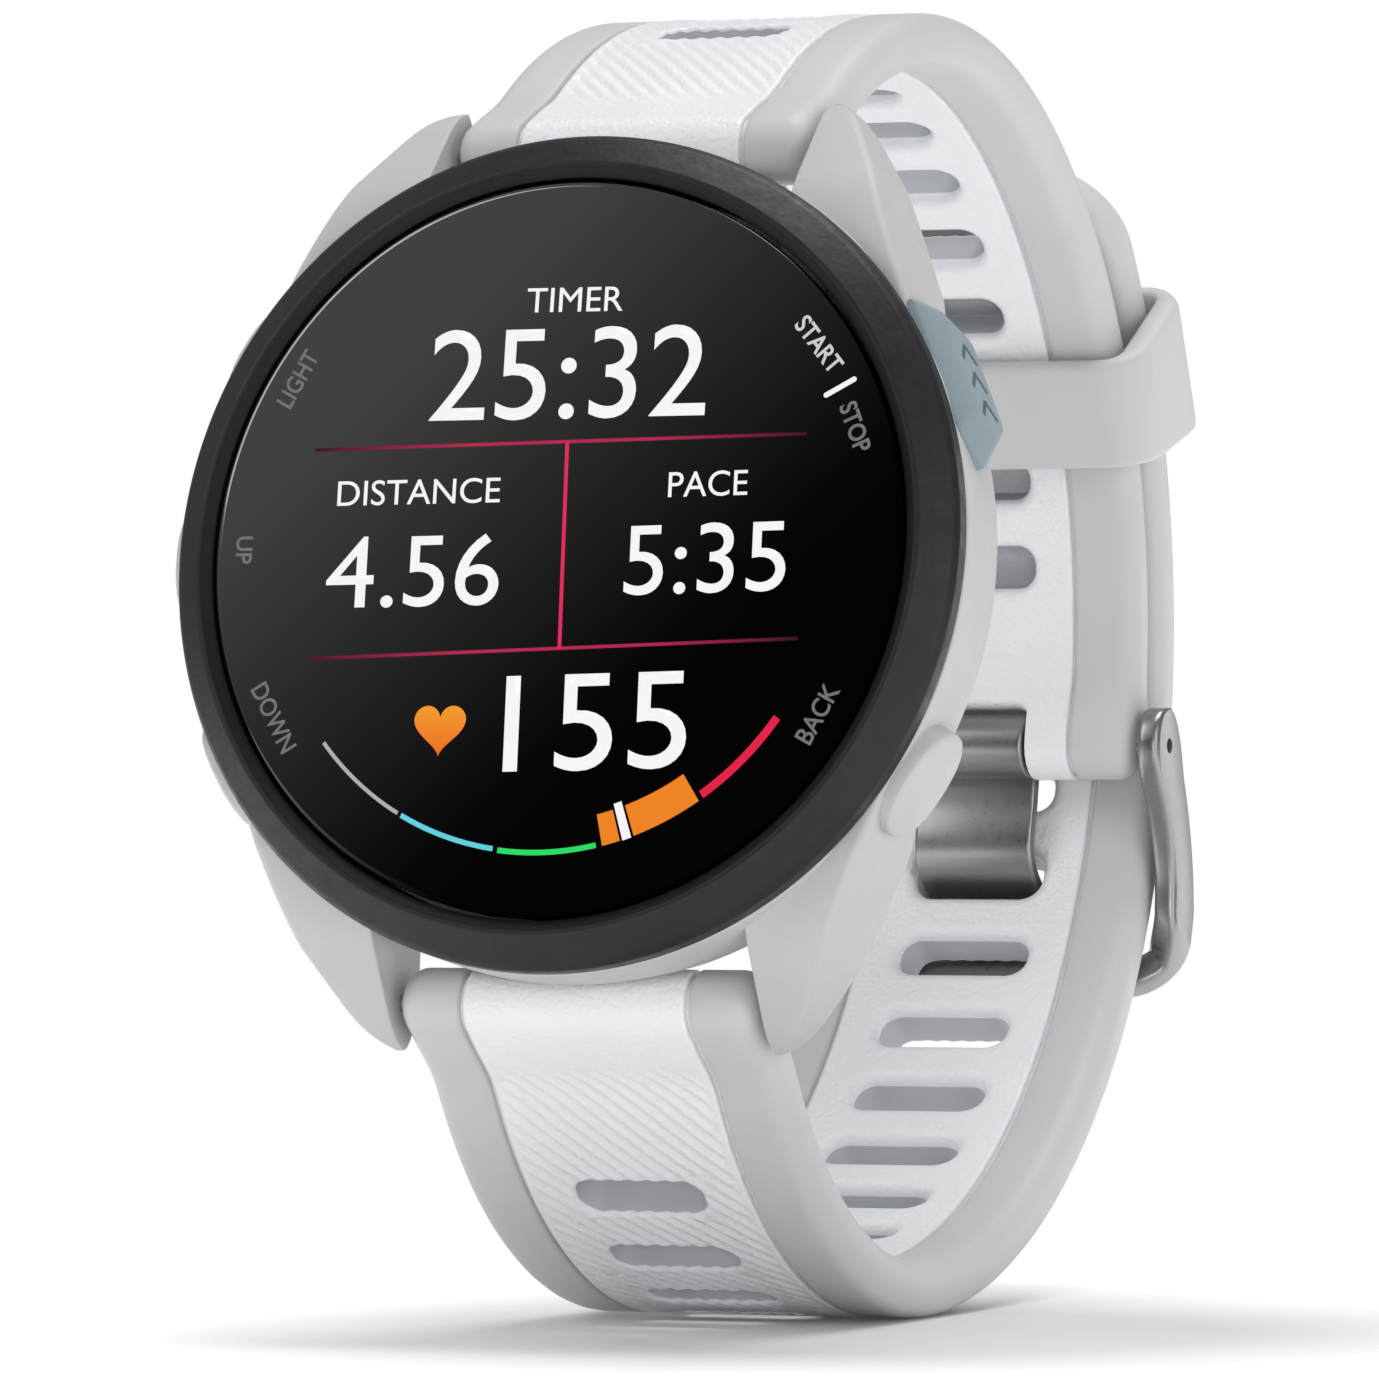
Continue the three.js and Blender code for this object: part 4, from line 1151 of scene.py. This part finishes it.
ARM_TOP = near_pin(0, 2.1)
ARM_INNER_EDGE = bezier([
    ARM_TOP, (near_pin(-1.9, 2), near_pin(-1.9, 0)),
    (near_pin(-1.8, -1.6), near_pin(-0.2, -3)), (near_pin(2.0, -5.6), near_pin(2.2, -8.3)),
    (near_pin(2.35, -10.2), polar(BAR_INSIDE, -21)), (polar(BAR_INSIDE, -25),)])
ARM_OUTER_EDGE = bezier([
    ARM_TOP, (near_pin(1.6, 2.1), near_pin(2.9, -1.4)),
    (near_pin(5.2, -5), near_pin(5.7, -8.7)), (polar(38.3, -18), polar(BAR_OUTSIDE, -20)),
    (polar(BAR_OUTSIDE, -25),)])


def edge_radius(edge, angle):
    """Radius of an arm's edge about the loop's centre, at an angle."""
    away = edge - LOOP
    angles = np.degrees(np.arctan2(away[:, 1], away[:, 0]))
    return float(np.interp(-angle, -angles, np.hypot(away[:, 0], away[:, 1])))


def buckle_hoop():
    """Both arms and the bar between them: one ribbon bent round two corners."""
    crown = math.degrees(math.atan2(*(ARM_TOP - LOOP)[::-1]))
    corner = BAR_ANGLE + math.degrees(BEND_R / BAR_MIDDLE)
    stations = [(crown + (corner - crown) * share ** 1.7, ARM_MIDDLE, 0.0)
                for share in np.linspace(0, 1, 70)]
    for turn in np.linspace(0, math.pi / 2, 16)[1:]:
        stations.append((corner - math.degrees(BEND_R * math.sin(turn) / BAR_MIDDLE),
                         ARM_MIDDLE - BEND_R * (1 - math.cos(turn)), turn))
    stations += [(BAR_ANGLE, x, math.pi / 2) for x in np.linspace(ARM_MIDDLE - BEND_R, 0, 12)[1:]]
    rows = []
    for angle, x, turn in stations:
        thick = ARM_THICK + (BAR_THICK - ARM_THICK) * math.sin(turn)
        across, radius = rounded_box(thick / 2, edge_radius(ARM_INNER_EDGE, angle),
                                     edge_radius(ARM_OUTER_EDGE, angle), ARM_ROUND, 5).T
        along = np.degrees(across * math.sin(turn) / BAR_MIDDLE)
        rows.append(np.column_stack([x + across * math.cos(turn), polar(radius, angle - along)]))
    return Shape().grid(rows, wrap_columns=True).mirrored()


def painted_pin_hole_shade():
    """A black disc at the pin's end, on the outside of each arm, with a short wall into the arm:
    painted shade of the pin's hole.
    """
    shape = Shape()
    for side in (1, -1):
        face = side * (ARM_MIDDLE + ARM_THICK / 2 + 0.006)
        disc = [(0.0005, face), (PIN_HOLE_R, face), (PIN_HOLE_R, face - side * 0.3)]
        shape.grid(lathe(disc, 32, "x", (0, *PIN)), wrap_columns=True)
    return shape


buckle_hoop().build("buckle_arms_and_bar", DARK_STEEL, "buckle_steel", "buckle",
                    ["buckle_frame"], sharp=50)
painted_pin_hole_shade().build("buckle_pin_hole", HOLE_BLACK, "buckle_steel", "buckle")


def through_points(points, steps=10):
    """A smooth line through points."""
    points = [2 * points[0] - points[1], *points, 2 * points[-1] - points[-2]]
    made = []
    for p0, p1, p2, p3 in zip(points, points[1:], points[2:], points[3:]):
        for t in np.linspace(0, 1, steps, endpoint=False):
            made.append(0.5 * (2 * p1 + (p2 - p0) * t + (2 * p0 - 5 * p1 + 4 * p2 - p3) * t ** 2
                               + (3 * p1 - p0 - 3 * p2 + p3) * t ** 3))
    made.append(points[-2])
    return np.array(made)


TONGUE_HALF, TONGUE_THICK, TONGUE_ROUND = 3.48, 0.8, 0.25
TONGUE_SLOPE = math.radians(TONGUE_SLOT_ANGLE - 90 + 70)  # its heading through the slot
TONGUE_DROP = 0.2  # how far below its slot's middle the tongue passes
TONGUE_REACH = 2.1  # length of its straight stretch, each way from the slot's middle
EYE_INNER, EYE_OUTER = 1.05, 1.85


def tongue_line():
    """The tongue's middle line in (y, z): from the pin, through the slot and over the bar."""
    slot_middle = polar(TAIL_R, TONGUE_SLOT_ANGLE - math.degrees(TONGUE_DROP / TAIL_R))
    reach = TONGUE_REACH * np.array([math.cos(TONGUE_SLOPE), math.sin(TONGUE_SLOPE)])
    over = BAR_OUTSIDE + 0.25 + TONGUE_THICK / 2
    return through_points([
        near_pin(1.2, -0.4), near_pin(1.1, -3), slot_middle - reach, slot_middle + reach,
        polar(over, -19), polar(over, TONGUE_TIP)])


def tongue_plate():
    """The tongue's flat bar, bent along its line."""
    line = tongue_line()
    side = side_of(np.gradient(line, axis=0)) * TONGUE_THICK / 2
    outline = np.concatenate([line + side, (line - side)[::-1]])
    return rounded_plate(outline, -TONGUE_HALF, TONGUE_HALF, TONGUE_ROUND)


def tongue_eye():
    """The tongue's rolled end round the pin."""
    profile = rounded([
        (EYE_INNER, -TONGUE_HALF), (EYE_OUTER, -TONGUE_HALF, 0.3), (EYE_OUTER, TONGUE_HALF, 0.3),
        (EYE_INNER, TONGUE_HALF), (EYE_INNER, -TONGUE_HALF)])
    return Shape().grid(lathe(profile, 64, "x", (0, *PIN)), wrap_columns=True)


tongue_plate().build("buckle_tongue_plate", DARK_STEEL, "buckle_steel", "tongue",
                     ["buckle_tongue"], sharp=40)
tongue_eye().build("buckle_tongue_eye", DARK_STEEL, "buckle_steel", "tongue", sharp=40)


# ------------------------------------------------ studio
FLOOR_REACH, FLOOR_STEPS = 0.27, 24
SHADOW_MIDDLE = (0.013, -0.014, 0)  # middle of the patch under the watch that the floor's painted glow leaves dim, where its real shadow shows
SHADOW_FROM, SHADOW_TO = 0.016, 0.062


def floor():
    """A pale sheet of paper under the watch with painted light: it glows brighter away from the
    watch, so its real shadow shows only in a patch under it.
    """
    line = np.linspace(-FLOOR_REACH, FLOOR_REACH, FLOOR_STEPS + 1)
    x, y = np.meshgrid(line, line)
    points = np.stack([x, y, 0 * x], -1).reshape(-1, 3)
    mesh = bpy.data.meshes.new("studio_floor")
    mesh.from_pydata(points.tolist(), [], quads(FLOOR_STEPS + 1, FLOOR_STEPS + 1))
    paper = Finish("floor_paper", (0.72, 0.72, 0.72), 0.8, specular=0.1)
    paper.set("Emission Color", (1, 1, 1, 1))
    away = linked(paper.tree, "ShaderNodeVectorMath", operation="DISTANCE")
    away.inputs[1].default_value = SHADOW_MIDDLE
    paper.link(paper.place, away.inputs[0])
    # painted light: the floor's glow grows with distance from the shadow's middle
    painted_glow = paper.ramp(away.outputs["Value"], SHADOW_FROM, SHADOW_TO, 0.02, 0.85)
    paper.link(painted_glow, paper.shader.inputs["Emission Strength"])
    paper.bump(paper.noise(0.8), 0.002, 0.2)
    mesh.materials.append(paper.material)
    return add_object("studio_floor", mesh)


def area_light(name, place, size, power):
    """A soft rectangular light, aimed at the watch's middle."""
    lamp = bpy.data.lights.new(name, "AREA")
    lamp.shape = "RECTANGLE"
    lamp.size, lamp.size_y = size
    lamp.energy = power
    made = add_object(name, lamp)
    made.location = place
    aim = Vector(WATCH_MIDDLE) - Vector(place)
    made.rotation_euler = aim.to_track_quat("-Z", "Y").to_euler()


def white_room(seen, lit):
    """A plain white world: its brightness to the camera, and as light on the watch."""
    world = bpy.data.worlds.new("studio")
    world.use_nodes = True
    tree = world.node_tree
    backdrop = tree.nodes["Background"]
    backdrop.inputs["Color"].default_value = (1, 1, 1, 1)
    rays = tree.nodes.new("ShaderNodeLightPath")
    strength = linked(tree, "ShaderNodeMapRange", **{"To Min": lit, "To Max": seen})
    tree.links.new(rays.outputs["Is Camera Ray"], strength.inputs["Value"])
    tree.links.new(strength.outputs["Result"], backdrop.inputs["Strength"])
    bpy.context.scene.world = world


floor()
WATCH_MIDDLE = (0, 0, 0.035)
area_light("key_left", (-0.55, -0.45, 0.5), (0.45, 0.45), 1.5)
area_light("top_soft", (0.1, 0.1, 0.8), (0.5, 0.5), 4.0)
area_light("low_front", (0.22, -0.6, 0.07), (0.3, 0.1), 0.4)
area_light("rear_glint", (0.3, 0.62, 0.08), (0.26, 0.22), 0.28)
area_light("right_fill", (0.6, -0.3, 0.2), (0.4, 0.4), 0.9)
white_room(seen=1.0, lit=0.33)
bpy.context.scene.view_settings.view_transform = "Standard"

CAMERA_PLACE = Vector((0.201500, -0.489341, 0.033323))
CAMERA_TARGET = Vector((0.006300, -0.027932, 0.033145))
CAMERA_ROLL = math.radians(0.232)
lens = bpy.data.cameras.new("camera")
lens.sensor_width = 36
lens.lens = 259.34
lens.clip_start, lens.clip_end = 0.01, 20
camera = add_object("camera", lens)
camera.location = CAMERA_PLACE
facing = (CAMERA_TARGET - CAMERA_PLACE).to_track_quat("-Z", "Y")
camera.rotation_mode = "QUATERNION"
camera.rotation_quaternion = Quaternion(CAMERA_TARGET - CAMERA_PLACE, CAMERA_ROLL) @ facing
bpy.context.scene.camera = camera
